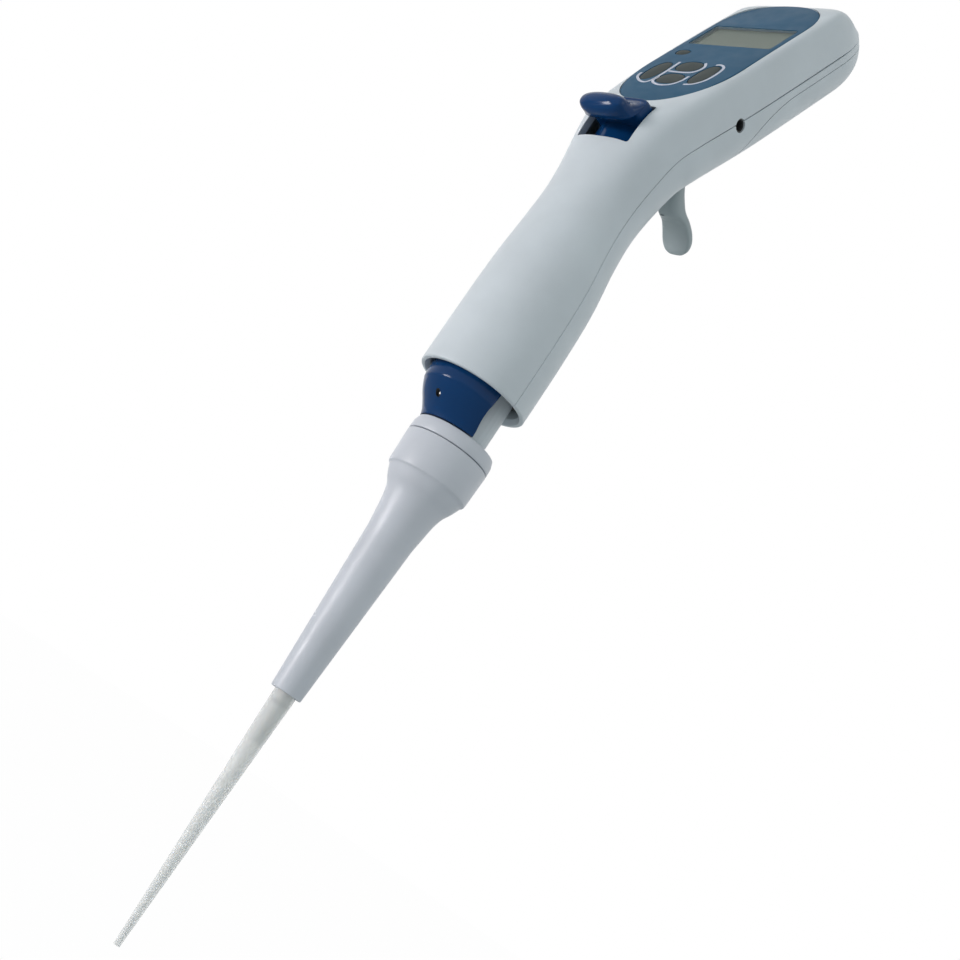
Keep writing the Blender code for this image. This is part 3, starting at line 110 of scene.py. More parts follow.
# Sizes of the control panel, the display and the keys
PANEL_HALF_WIDTH = 15.6
PANEL_TOP = 24.6
PANEL_BOTTOM = -46.5
PANEL_TOP_ROUND = 17.0
PANEL_BOTTOM_ROUND = 27.0
PANEL_POWER = 0.86
PANEL_STEPS = 44
PANEL_FACE = -0.3
PANEL_BACK = -1.2
PANEL_SEAM = 0.14
PANEL_LEDGE = 1.8
PANEL_EDGE = 0.22
DISPLAY_WIDTH = 28.0
DISPLAY_LENGTH = 14.0
PANE_MARGIN = 0.3
KEY_POWER = 2.3
KEY_POINTS = 56
KEY_SEAM = 0.2
KEY_EDGE = 0.35
KEY_EDGE_DROP = 0.8
KEY_CROWN = 0.28
KEY_CROWN_RISE = 0.6
KEY_STAND = 0.02
FLANGE_TOP = -1.5
FLANGE_BOTTOM = -2.1
FLANGE_SPREAD = 0.5
STEM_BOTTOM = -2.7
STEM_RADIUS = 0.9
PRINT_WIDTH = 0.75
PRINT_STAND = 0.04
PRINT_SUNK = 0.1

# Each key's solid and body, its place across and along the head, and its half width and half length
KEY_PLACES = (
    ("key_left", "left_key", -9.5, -26.9, 2.6, 6.1),
    ("key_right", "right_key", 6.9, -26.9, 2.6, 6.1),
    ("key_upper", "upper_key", -1.3, -22.5, 3.95, 3.3),
    ("key_lower", "lower_key", -1.3, -31.0, 3.95, 3.3),
    ("key_menu", "menu_key", -10.6, -13.4, 2.15, 1.7),
)

# The pale lines that hook round the keys: places across and along the head
PRINT_LINES = (
    ("print_left", ((-6.4, -20.1), (-6.1, -23.9), (-5.9, -28.7), (-6.0, -32.6), (-7.0, -34.7), (-9.4, -34.2),
                    (-12.2, -31.6), (-12.9, -29.0))),
    ("print_upper", ((-5.4, -26.5), (-1.7, -26.7), (1.8, -26.3), (3.3, -24.6), (3.4, -22.0), (2.0, -19.6))),
    ("print_lower", ((-5.6, -30.6), (-5.4, -33.4), (-3.4, -35.1), (-0.8, -35.6), (1.8, -34.6), (3.2, -31.8),
                     (3.3, -28.8))),
    ("print_right", ((5.4, -34.0), (8.0, -33.2), (9.9, -30.4), (10.3, -26.0), (9.6, -21.9), (7.6, -20.0),
                     (5.9, -20.2))),
)

# Sizes of the trigger and its slot, and of the ejector's lever, rod, spring and skirt
TRIGGER_BACK = 7.5
TRIGGER_HEIGHT = 106.5
TRIGGER_SLOPE = math.radians(31.7)
HUB_RADIUS = 2.6
BORE_RADIUS = 1.3
SLOT_HALF_WIDTH = 4.4
SLOT_HALF_HEIGHT = 3.9
SLOT_ROUND = 1.4
EJECT_STROKE = 6.2
LEVER_REACH = 7.9
LEVER_DEPTH = 6.2
SHIELD_WALL = 1.4
SHIELD_SPREAD = 52.0
SHIELD_STEPS = 40
ROD_TOP = 84.6
ROD_FORWARD = 12.9
SPRING_TOP = ROD_TOP - 8.9
SPRING_BOTTOM = ROD_TOP - 8.6 - 19.0 + 0.3
SPRING_RADIUS = 2.25
SPRING_WIRE = 0.3
SPRING_TURNS = 6
SPRING_STEPS = 28
WIRE_SIDES = 10
SKIRT_TOP = 22.2
SKIRT_WALL = 1.5
SKIRT_EDGE = 0.35
SKIRT_EDGE_SHARE = 0.03
SKIRT_STEPS = 60
HOLE_RADIUS = 0.85
HOLE_HEIGHT = 9.0
HOLE_FLOOR = -13.0

# Sizes of the collar, the sleeve and the tip
COLLAR_RADIUS = 11.6
COLLAR_TOP_RADIUS = 11.1
COLLAR_BOTTOM_RADIUS = 11.3
COLLAR_DEPTH = 10.1
COLLAR_SEAM = 0.14
COLLAR_EDGE = ((0.22, 0.0), (0.06, 0.08), (0.0, 0.24))
RING_HEIGHT = 4.1
BARREL_RADIUS = 7.5
SLEEVE_LENGTH = 71.5
SLEEVE_END_RADIUS = 4.2
SLEEVE_WALL = 1.0
CONE_TOP = -26.0
CONE_TOP_RADIUS = 6.45
TIP_LENGTH = 71.5
TIP_HIDDEN = 3.5
TIP_TOP = -SLEEVE_LENGTH + TIP_HIDDEN
TIP_END = TIP_TOP - TIP_LENGTH
TIP_TOP_RADIUS = 3.05
TIP_END_RADIUS = 0.83
TIP_WALL = 0.5
TIP_RIM = 2.4
TIP_RIM_RADIUS = 3.35


# Places in the pipette's own frames, turned into the world's metres

def at_axis(x, y, z):
    """A point measured from the collar's seam on the pipette's axis."""
    return Vector((x, y, z - GRIP)) * MM


def at_head(across, along, depth):
    """A point measured from the display's centre: across, up the head, and out of its front."""
    y = DISPLAY_SETBACK + along * math.sin(LEAN) - depth * math.cos(LEAN)
    z = DISPLAY_HEIGHT + along * math.cos(LEAN) + depth * math.sin(LEAN)
    return at_axis(across, y, z)


def at_trigger(across, along, up):
    """A point measured from the trigger's pin: across, along the trigger, and up from its face."""
    y = TRIGGER_BACK + along * math.cos(TRIGGER_SLOPE) + up * math.sin(TRIGGER_SLOPE)
    z = TRIGGER_HEIGHT - along * math.sin(TRIGGER_SLOPE) + up * math.cos(TRIGGER_SLOPE)
    return at_axis(across, y, z)


# Materials

TONE_PATCH = 18.0
GLOSS_PATCH = 4.0
NOISE_RANGE = (0.3, 0.7)


def node(tree, kind, **settings):
    """A new node, with some of its inputs or settings given."""
    made = tree.nodes.new(kind)
    for name, value in settings.items():
        if name in made.inputs:
            made.inputs[name].default_value = value
        else:
            setattr(made, name, value)
    return made


def noise_field(tree, size, detail):
    """Noise whose grains are about this many millimetres across."""
    place = node(tree, "ShaderNodeTexCoord")
    field = node(tree, "ShaderNodeTexNoise", Scale=1.0 / (size * MM), Detail=detail)
    tree.links.new(place.outputs["Object"], field.inputs["Vector"])
    return field.outputs["Fac"]


def remap(tree, value, low, high):
    """Noise spread out from low to high."""
    shift = node(tree, "ShaderNodeMapRange")
    shift.inputs["From Min"].default_value = NOISE_RANGE[0]
    shift.inputs["From Max"].default_value = NOISE_RANGE[1]
    shift.inputs["To Min"].default_value = low
    shift.inputs["To Max"].default_value = high
    tree.links.new(value, shift.inputs["Value"])
    return shift.outputs["Result"]


def blend_colours(tree, share, first, second):
    """A colour between two others."""
    mix = node(tree, "ShaderNodeMix")
    mix.data_type = "RGBA"
    mix.inputs["A"].default_value = (*first, 1.0)
    mix.inputs["B"].default_value = (*second, 1.0)
    tree.links.new(share, mix.inputs["Factor"])
    return mix.outputs["Result"]


def moulded(name, colour, roughness, grain=0.3, relief=0.006, mottle=0.05, spread=0.05, metallic=0.0,
            specular=0.5, alpha=1.0, subsurface=0.0):
    """A moulded surface: a fine grain, slow changes of tone, and slightly more and less glossy patches."""
    made = bpy.data.materials.new(name)
    made.use_nodes = True
    tree = made.node_tree
    shader = tree.nodes["Principled BSDF"]
    shader.inputs["Metallic"].default_value = metallic
    shader.inputs["Specular IOR Level"].default_value = specular
    shader.inputs["Alpha"].default_value = alpha
    shader.inputs["Subsurface Weight"].default_value = subsurface
    if subsurface:
        shader.inputs["Subsurface Radius"].default_value = (1.0, 0.9, 0.8)
        shader.inputs["Subsurface Scale"].default_value = 1.5 * MM
    darker = [channel * (1 - mottle) for channel in colour]
    lighter = [min(channel * (1 + mottle), 1.0) for channel in colour]
    tone = remap(tree, noise_field(tree, TONE_PATCH, 3.0), 0.0, 1.0)
    tree.links.new(blend_colours(tree, tone, darker, lighter), shader.inputs["Base Color"])
    patches = noise_field(tree, GLOSS_PATCH, 3.0)
    gloss = remap(tree, patches, max(roughness - spread, 0.02), roughness + spread)
    tree.links.new(gloss, shader.inputs["Roughness"])
    bump = node(tree, "ShaderNodeBump", Distance=relief * MM)
    tree.links.new(noise_field(tree, grain, 2.0), bump.inputs["Height"])
    tree.links.new(bump.outputs["Normal"], shader.inputs["Normal"])
    return made


SHELL = moulded("shell_plastic", (0.60, 0.645, 0.68), 0.42, subsurface=0.1)
COLLAR = moulded("collar_plastic", (0.59, 0.61, 0.66), 0.40, subsurface=0.1)
NAVY = moulded("navy_plastic", (0.003, 0.038, 0.13), 0.15, relief=0.001, spread=0.02, specular=0.16)
PANEL = moulded("panel_film", (0.033, 0.1, 0.175), 0.5, grain=0.18, relief=0.003, specular=0.1)
KEYS = moulded("key_rubber", (0.058, 0.068, 0.066), 0.6, grain=0.22, relief=0.008, specular=0.12)
PRINT = moulded("pale_print", (0.55, 0.57, 0.66), 0.5, relief=0.002)
TRIGGER = moulded("trigger_plastic", (0.355, 0.405, 0.42), 0.4, specular=0.4)
LCD = moulded("liquid_crystal", (0.20, 0.235, 0.185), 0.5, grain=0.5, relief=0.001, specular=0.15)
PANE = moulded("display_pane", (0.30, 0.34, 0.32), 0.2, relief=0.001, alpha=0.2, specular=0.2)
TIP = moulded("tip_plastic", (0.95, 0.945, 0.925), 0.4, relief=0.0001, mottle=0.02, alpha=0.5, specular=0.3,
              subsurface=0.5)
WHITE = moulded("white_plastic", (0.74, 0.74, 0.72), 0.4)
BLACK = moulded("black_plastic", (0.018, 0.018, 0.02), 0.45)
# Near-black rubber for the seals, also used as painted shade inside the skirt's hole
SEAL_AND_HOLE_SHADE = moulded("seal_rubber_and_hole_shade", (0.03, 0.03, 0.03), 0.7)
BOARD = moulded("board_lacquer", (0.02, 0.14, 0.06), 0.3)
CELL = moulded("cell_wrap", (0.06, 0.22, 0.2), 0.35)
STEEL = moulded("steel", (0.55, 0.56, 0.58), 0.28, metallic=1.0, grain=0.1, relief=0.002)
BRASS = moulded("brass", (0.62, 0.47, 0.2), 0.3, metallic=1.0, grain=0.1, relief=0.002)
COPPER = moulded("copper_wire", (0.6, 0.26, 0.12), 0.35, metallic=1.0, grain=0.2, relief=0.02)


# Outlines and curves

def between(a, b, c, d, t):
    """Catmull-Rom value between b and c."""
    square = (2 * a - 5 * b + 4 * c - d) * t * t
    cube = (3 * b - a - 3 * c + d) * t ** 3
    return 0.5 * (2 * b + (c - a) * t + square + cube)


def smoothed(rows, steps=6):
    """The rows of numbers, with a smooth curve's rows filled in between them."""
    path = [rows[0], *rows, rows[-1]]
    fine = []
    for around in zip(path, path[1:], path[2:], path[3:]):
        for i in range(steps):
            fine.append([between(*values, i / steps) for values in zip(*around)])
    return fine + [rows[-1]]


def bent(value, power):
    """The value raised to a power, with its sign kept."""
    return math.copysign(abs(value) ** power, value)


def circle(radius, sides):
    """Points of a circle about nought."""
    angles = (2 * math.pi * (i + 0.5) / sides for i in range(sides))
    return [(radius * math.cos(angle), radius * math.sin(angle)) for angle in angles]


def oval(half_width, half_length, power, points, centre=(0, 0)):
    """An ellipse, or a squarer oval where the power is above 2."""
    outline = []
    for i in range(points):
        angle = 2 * math.pi * i / points
        outline.append((centre[0] + half_width * bent(math.cos(angle), 2 / power),
                        centre[1] + half_length * bent(math.sin(angle), 2 / power)))
    return outline


def rounded(points, radius, steps=5):
    """The closed outline with each of its corners rounded."""
    result = []
    count = len(points)
    for i in range(count):
        before, corner, after = (Vector(points[(i + k) % count]) for k in (-1, 0, 1))
        into = before - corner
        out = after - corner
        reach = radius / math.tan(into.angle(out) / 2)
        start = corner + into.normalized() * reach
        end = corner + out.normalized() * reach
        for k in range(steps + 1):
            t = k / steps
            result.append(tuple(start * (1 - t) ** 2 + corner * 2 * t * (1 - t) + end * t ** 2))
    return result


def rounded_box(half_x, half_y, radius, steps=5):
    """A rectangle about nought with rounded corners."""
    corners = [(-half_x, -half_y), (half_x, -half_y), (half_x, half_y), (-half_x, half_y)]
    return rounded(corners, radius, steps)


def panel_outline(margin):
    """The control panel's outline, drawn in by a margin."""
    half = PANEL_HALF_WIDTH - margin
    top = PANEL_TOP - margin - PANEL_TOP_ROUND
    bottom = PANEL_BOTTOM + margin + PANEL_BOTTOM_ROUND
    upper = [math.pi * i / PANEL_STEPS for i in range(PANEL_STEPS + 1)]
    lower = [math.pi + math.pi * (i + 0.5) / (PANEL_STEPS + 1) for i in range(PANEL_STEPS + 1)]
    outline = []
    for angles, middle, reach in ((upper, top, PANEL_TOP_ROUND), (lower, bottom, -PANEL_BOTTOM_ROUND)):
        for angle in angles:
            outline.append((half * bent(math.cos(angle), PANEL_POWER),
                            middle + reach * abs(math.sin(angle)) ** PANEL_POWER))
    return outline


def head_prism(outline, low, high):
    """Rings for a flat shape in the head's plane, between two depths."""
    return [[at_head(x, y, depth) for x, y in outline] for depth in (low, high)]


def jack_ring(radius, across):
    """A ring about the charging jack's axis, this far from the head's middle."""
    drop = -HEAD_HALF_DEPTH - JACK_DROP
    return [at_head(across, JACK_PLACE + x, drop + y) for x, y in circle(radius, JACK_SIDES)]


# Mesh makers

# Edges stay sharp that turn more than this many degrees: on most pieces, on rounded ones and on the spring
SHARP = 32.0
SOFT_SHARP = 50.0
WIRE_SHARP = 80.0


def object_of(name, data):
    """The scene's object for a finished bmesh."""
    mesh = bpy.data.meshes.new(name)
    data.to_mesh(mesh)
    data.free()
    made = bpy.data.objects.new(name, mesh)
    bpy.context.scene.collection.objects.link(made)
    return made


def shade(mesh, sharp):
    """Smooth shading, apart from edges that turn more than this many degrees."""
    mesh.shade_smooth()
    mesh.set_sharp_from_angle(angle=math.radians(sharp))


def piece(name, data, look, body, stands_for=(), sharp=SHARP):
    """A finished piece of the scene, made from a bmesh in the world's metres."""
    bmesh.ops.recalc_face_normals(data, faces=data.faces)
    made = object_of(name, data)
    shade(made.data, sharp)
    made.data.materials.append(look)
    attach(made, body)
    if stands_for:
        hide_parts(*stands_for)
    return made


def join(data, lower, upper):
    """Faces between two closed rings of vertices."""
    count = len(lower)
    for i in range(count):
        j = (i + 1) % count
        data.faces.new((lower[i], lower[j], upper[j], upper[i]))


def skin(rings):
    """A bmesh with faces between rings of points and over both ends."""
    data = bmesh.new()
    made = [[data.verts.new(point) for point in ring] for ring in rings]
    for lower, upper in zip(made, made[1:]):
        join(data, lower, upper)
    data.faces.new(made[0][::-1])
    data.faces.new(made[-1])
    return data


def turned(name, profile, look, body, stands_for, sides):
    """A closed outline of (radius, height) points turned about the pipette's axis."""
    data = bmesh.new()
    rings = []
    for radius, height in profile:
        rings.append([data.verts.new(at_axis(x, y, height)) for x, y in circle(radius, sides)])
    for first, second in zip(rings, rings[1:] + rings[:1]):
        join(data, first, second)
    piece(name, data, look, body, stands_for)


def cutter(name, rings):
    """A solid that is only used to carve, and is deleted afterwards."""
    data = skin(rings)
    bmesh.ops.recalc_face_normals(data, faces=data.faces)
    return object_of(name, data)


def block(name, place, low, high):
    """A box to carve with, between two corners in one of the frames above."""
    corners = ((low[0], low[1]), (high[0], low[1]), (high[0], high[1]), (low[0], high[1]))
    return cutter(name, [[place(x, y, z) for x, y in corners] for z in (low[2], high[2])])


def trigger_rod(name, radius, sides, left, right):
    """A round bar to carve with, along the trigger's pin."""
    outline = circle(radius, sides)
    return cutter(name, [[at_trigger(x, along, up) for along, up in outline] for x in (left, right)])


def trigger_prism(name, outline, start, end):
    """A prism to carve with, along the trigger."""
    return cutter(name, [[at_trigger(x, along, up) for x, up in outline] for along in (start, end)])


def carve(target, tools, operation="DIFFERENCE", sharp=SHARP):
    """Cut the tools from a piece, join them to it or keep what they share, and delete the tools."""
    for tool in tools:
        step = target.modifiers.new("carve", "BOOLEAN")
        step.operation = operation
        step.solver = "EXACT"
        step.object = tool
    bpy.context.view_layer.update()
    shaped = bpy.data.meshes.new_from_object(target.evaluated_get(bpy.context.evaluated_depsgraph_get()))
    target.modifiers.clear()
    target.data = shaped
    shade(shaped, sharp)
    for tool in tools:
        bpy.data.objects.remove(tool, do_unlink=True)


# Shell

HALF_SIZES = (3, 4, 5)     # a section's half width, front depth and back depth, by their places in it


def head_middle(along):
    """The y and z of the head's parting plane, this far up from the display's centre."""
    return (DISPLAY_SETBACK + along * math.sin(LEAN) + HEAD_HALF_DEPTH * math.cos(LEAN),
            DISPLAY_HEIGHT + along * math.cos(LEAN) - HEAD_HALF_DEPTH * math.sin(LEAN))


def shell_stations():
    """Sections: y, z, lean in degrees, half width, front and back depth, front and back squareness."""
    lean = math.degrees(LEAN)
    upper_radius = HANDLE_RADIUS - 0.4
    rows = [
        (-HANDLE_FORWARD, HANDLE_BOTTOM, 0, HANDLE_RADIUS, HANDLE_RADIUS, HANDLE_RADIUS, 2.0, 2.0),
        (-HANDLE_FORWARD, 34, 0, HANDLE_RADIUS, HANDLE_RADIUS, HANDLE_RADIUS, 2.0, 2.0),
        (-HANDLE_FORWARD - 0.2, 50, 0, upper_radius, upper_radius, upper_radius, 2.0, 2.0),
        (-WAIST_FORWARD, 64, 0, WAIST_RADIUS + 0.4, WAIST_RADIUS + 0.6, WAIST_RADIUS + 0.6, 2.0, 2.0),
        (-WAIST_FORWARD, WAIST_HEIGHT, 0, WAIST_RADIUS, WAIST_RADIUS, WAIST_RADIUS, 2.1, 2.05),
        (-WAIST_FORWARD + 0.4, 84, 0, WAIST_RADIUS + 0.6, WAIST_RADIUS + 0.1, WAIST_RADIUS + 0.1, 2.5, 2.2),
        (-WAIST_FORWARD + 1.2, 94.5, lean / 2, 15.1, 13.6, 13.0, 3.6, 2.5),
        (*head_middle(NECK_PLACE), lean, 16.5, HEAD_HALF_DEPTH, HEAD_HALF_DEPTH, 6.0, 2.8),
    ]
    for along, wider, squareness in ((-22.0, -0.3, 9.0), (0.0, 0.0, 10.0), (HEAD_SHOULDER, -0.1, 10.0)):
        half = HEAD_HALF_WIDTH + wider
        rows.append((*head_middle(along), lean, half, HEAD_HALF_DEPTH, HEAD_HALF_DEPTH, squareness, 3.0))
    return rows


def end_sections(last, wall):
    """Sections that close the head's upper end, the last of them almost a point."""
    sections = []
    for i in range(END_STEPS + 1):
        angle = END_TURN * i / END_STEPS
        shrink = math.cos(angle)
        section = list(last)
        section[:2] = head_middle(HEAD_SHOULDER + (HEAD_END - wall) * math.sin(angle))
        for place, power in zip(HALF_SIZES, (END_WIDTH_POWER, END_FRONT_POWER, 1)):
            section[place] = wall + (last[place] - wall) * shrink ** power
        section[6] = 2.0 + (last[6] - 2.0) * shrink ** END_SQUARE_FALL
        sections.append(section)
    return sections


def rim_sections(section):
    """The lowest section again, as the rim's rounded edge."""
    sections = []
    for k in range(RIM_STEPS + 1):
        turn = math.pi / 2 * k / RIM_STEPS
        edge = list(section)
        edge[1] += RIM_ROUND * (1 - math.cos(turn))
        for place in HALF_SIZES:
            edge[place] -= RIM_ROUND * (1 - math.sin(turn))
        sections.append(edge)
    return sections


def shell_sections(wall):
    """Sections of the shell's outer skin, or of its inner skin where there is a wall."""
    stations = shell_stations()
    sections = smoothed(stations, SECTION_STEPS)[:-1] + end_sections(stations[-1], wall)
    for section in sections:
        for place in HALF_SIZES:
            section[place] -= wall
    if wall:
        # The inside widens at the rim
        for place in HALF_SIZES:
            sections[0][place] += RIM_THINNING
    else:
        sections[:1] = rim_sections(sections[0])
    return sections


def section_point(section, angle, split, inset=0.0):
    """A point of a section's outline. The front half is 0 to 180 degrees, and the rest is the back half."""
    y, z, lean, half, front, back, front_power, back_power = section
    side = 1 if math.sin(angle) >= 0 else -1
    depth = front if side > 0 else back
    power = front_power if side > 0 else back_power
    lean = math.radians(lean)
    across = bent(math.cos(angle), 2 / power) * (half - inset)
    out = side * (split + (depth - split) * abs(math.sin(angle)) ** (2 / power))
    return at_axis(across, y - out * math.cos(lean), z + out * math.sin(lean))


def half_shell(name, side, body, stands_for):
    """The front or back half of the shell, with its parting edges eased."""
    data = bmesh.new()
    # The end angles stay just inside the half, so that each point falls on its own side
    angles = []
    for i in range(OUTLINE_STEPS + 1):
        share = min(max(i / OUTLINE_STEPS, SEAM_NUDGE), 1 - SEAM_NUDGE)
        angles.append(side * math.pi * share)
    skins = []
    for wall, inset in ((0.0, SEAM_ROUND), (WALL, 0.0)):
        loops = []
        for section in shell_sections(wall):
            loop = [section_point(section, angle, SEAM_HALF + SEAM_ROUND) for angle in angles]
            first = section_point(section, angles[0], SEAM_HALF, inset)
            last = section_point(section, angles[-1], SEAM_HALF, inset)
            loops.append([data.verts.new(point) for point in [first, *loop, last]])
        skins.append(loops)
    outer, inner = skins
    count = len(outer[0])
    for loops in skins:
        for lower, upper in zip(loops, loops[1:]):
            for i in range(count - 1):
                data.faces.new((lower[i], lower[i + 1], upper[i + 1], upper[i]))
        data.faces.new(loops[-1])
    for i in range(count - 1):
        data.faces.new((outer[0][i], outer[0][i + 1], inner[0][i + 1], inner[0][i]))
    for end in (0, -1):
        data.faces.new([loop[end] for loop in outer] + [loop[end] for loop in inner[::-1]])
    data.faces.new((outer[-1][0], outer[-1][-1], inner[-1][-1], inner[-1][0]))
    return piece(name, data, SHELL, body, stands_for)


def window_half(height):
    """The thumb window's half width at this height."""
    return WINDOW_HALF + WINDOW_FLARE * (height - WINDOW_BOTTOM)


def window_tool():
    """The thumb window's rounded trapezium, drawn through the front wall."""
    low, high = window_half(WINDOW_BOTTOM), window_half(WINDOW_TOP)
    corners = [(-low, WINDOW_BOTTOM), (low, WINDOW_BOTTOM), (high, WINDOW_TOP), (-high, WINDOW_TOP)]
    outline = rounded(corners, WINDOW_ROUND)
    return cutter("window_tool", [[at_axis(x, y, z) for x, z in outline] for y in (-30, -8)])


def jack_tool(name):
    """The charging jack's hole, from inside the head to beyond its side."""
    outside = HEAD_HALF_WIDTH + 3
    return cutter(name, [jack_ring(JACK_HOLE_RADIUS, across) for across in (JACK_INSIDE, outside)])


def cover_tool(name, gap):
    """The battery cover's part of the head, grown by a gap and seen from the side."""
    beyond = 4.0
    sweep = COVER_ROUND * COVER_SWEEP
    line = COVER_LINE + gap
    start = COVER_START - gap
    deep = -HEAD_HALF_DEPTH * 2 - beyond
    far = HEAD_SHOULDER + HEAD_END + beyond
    outline = [(far, deep), (far, line)]
    for i in range(COVER_STEPS + 1):
        angle = math.radians(90 + 90 * i / COVER_STEPS)
        outline.append((start + sweep * (1 + math.cos(angle)), line - COVER_ROUND * (1 - math.sin(angle))))
    outline.append((start, deep))
    half = HEAD_HALF_WIDTH + 2
    return cutter(name, [[at_head(x, along, depth) for along, depth in outline] for x in (-half, half)])


def screw_tool():
    """The stepped hole for the chassis screw: steps of radius and y."""
    rings = []
    for radius, depth in ((0.95, 3.0), (0.95, 9.45), (1.9, 9.5), (1.9, 14.0)):
        rings.append([at_axis(x, depth, SCREW_HEIGHT + z) for x, z in circle(radius, 32)])
    return cutter("screw_tool", rings)


def make_shell():
    """The front and back halves and the battery cover, with everything that is cut from them."""
    front = half_shell("front_shell", 1, "handset", ["front_housing"])
    pocket = cutter("pocket_tool", head_prism(panel_outline(-PANEL_SEAM), PANEL_BACK - 0.3, 3.0))
    mouth = cutter("mouth_tool", head_prism(panel_outline(PANEL_LEDGE), -WALL - 3.0, PANEL_BACK + 0.7))
    carve(front, [pocket, mouth, window_tool(), jack_tool("jack_front")])

    back = half_shell("back_shell", -1, "handset", ["back_housing"])
    slot = trigger_prism("slot_tool", rounded_box(SLOT_HALF_WIDTH, SLOT_HALF_HEIGHT, SLOT_ROUND), 1.0, 16.0)
    carve(back, [cover_tool("cover_space", COVER_SEAM), slot, jack_tool("jack_back"), screw_tool()])

    cover = half_shell("battery_door_shell", -1, "battery_door", ["battery_cover"])
    carve(cover, [cover_tool("cover_keep", -COVER_SEAM)], "INTERSECT")


# Control panel

def make_panel():
    """The control panel, with its openings for the display and the keys."""
    rings = [[at_head(x, y, PANEL_BACK) for x, y in panel_outline(0.0)]]
    for k in range(4):
        turn = math.pi / 2 * k / 3
        outline = panel_outline(PANEL_EDGE * (1 - math.cos(turn)))
        rings.append([at_head(x, y, PANEL_FACE - PANEL_EDGE * (1 - math.sin(turn))) for x, y in outline])
    panel = piece("panel_face", skin(rings), PANEL, "handset", ["control_panel"])
    below = PANEL_BACK - 1
    above = 1.0
    opening = rounded_box(DISPLAY_WIDTH / 2, DISPLAY_LENGTH / 2, 1.0)
    tools = [cutter("display_tool", head_prism(opening, below, above))]
    for solid, body, across, along, half_x, half_y in KEY_PLACES:
        outline = oval(half_x + KEY_SEAM, half_y + KEY_SEAM, KEY_POWER, KEY_POINTS, (across, along))
        tools.append(cutter(solid + "_tool", head_prism(outline, below, above)))
    carve(panel, tools)


def make_display():
    """The clear pane in the panel, and the liquid crystal cell behind it."""
    half_x = DISPLAY_WIDTH / 2
    half_y = DISPLAY_LENGTH / 2
    outline = rounded_box(half_x - PANE_MARGIN, half_y - PANE_MARGIN, 0.8)
    pane = head_prism(outline, PANEL_BACK, PANEL_FACE - 0.1)
    piece("display_pane", skin(pane), PANE, "handset", ["display_window"])
    cell = head_prism(rounded_box(half_x + 0.4, half_y + 1.4, 0.5, 4), -5.0, PANEL_BACK - GAP)
    piece("display_cell", skin(cell), LCD, "handset", ["display_module"])


def make_keys():
    """Each key's stem, flange, rounded edge and crown: rows of half width, half length, power and depth."""
    for solid, body, across, along, half_x, half_y in KEY_PLACES:
        wide_x = half_x + FLANGE_SPREAD
        wide_y = half_y + FLANGE_SPREAD
        rows = [
            (STEM_RADIUS, STEM_RADIUS, 2.0, STEM_BOTTOM),
            (STEM_RADIUS, STEM_RADIUS, 2.0, FLANGE_BOTTOM),
            (wide_x, wide_y, KEY_POWER, FLANGE_BOTTOM),
            (wide_x, wide_y, KEY_POWER, FLANGE_TOP),
            (half_x, half_y, KEY_POWER, FLANGE_TOP),
        ]
        for k in range(5):
            turn = math.pi / 2 * k / 4
            inset = KEY_EDGE * (1 - math.cos(turn))
            depth = PANEL_FACE + KEY_STAND - KEY_EDGE * (1 - math.sin(turn)) * KEY_EDGE_DROP
            rows.append((half_x - inset, half_y - inset, KEY_POWER, depth))
        for share in (0.8, 0.55, 0.3, 0.1):
            depth = PANEL_FACE + KEY_STAND + KEY_CROWN * (1 - share ** 2) * KEY_CROWN_RISE
            rows.append(((half_x - KEY_EDGE) * share, (half_y - KEY_EDGE) * share, KEY_POWER, depth))
        rings = []
        for wide, long, power, depth in rows:
            outline = oval(wide, long, power, KEY_POINTS)
            rings.append([at_head(across + x, along + y, depth) for x, y in outline])
        piece(solid + "_cap", skin(rings), KEYS, body, [solid], sharp=SOFT_SHARP)


def make_prints():
    """Thin pale lines on the panel, through points in its plane."""
    section = ((1, -PRINT_SUNK), (1, PRINT_STAND), (-1, PRINT_STAND), (-1, -PRINT_SUNK))
    for name, points in PRINT_LINES:
        fine = smoothed(points, 8)
        rings = []
        for i, (x, y) in enumerate(fine):
            before = Vector(fine[max(i - 1, 0)])
            after = Vector(fine[min(i + 1, len(fine) - 1)])
            along = (after - before).normalized()
            side = Vector((-along.y, along.x)) * PRINT_WIDTH / 2
            rings.append([at_head(x + sign * side.x, y + sign * side.y, PANEL_FACE + out)
                          for sign, out in section])
        piece(name, skin(rings), PRINT, "handset")


# Thumb lever, skirt, trigger, charging jack and ejector spring

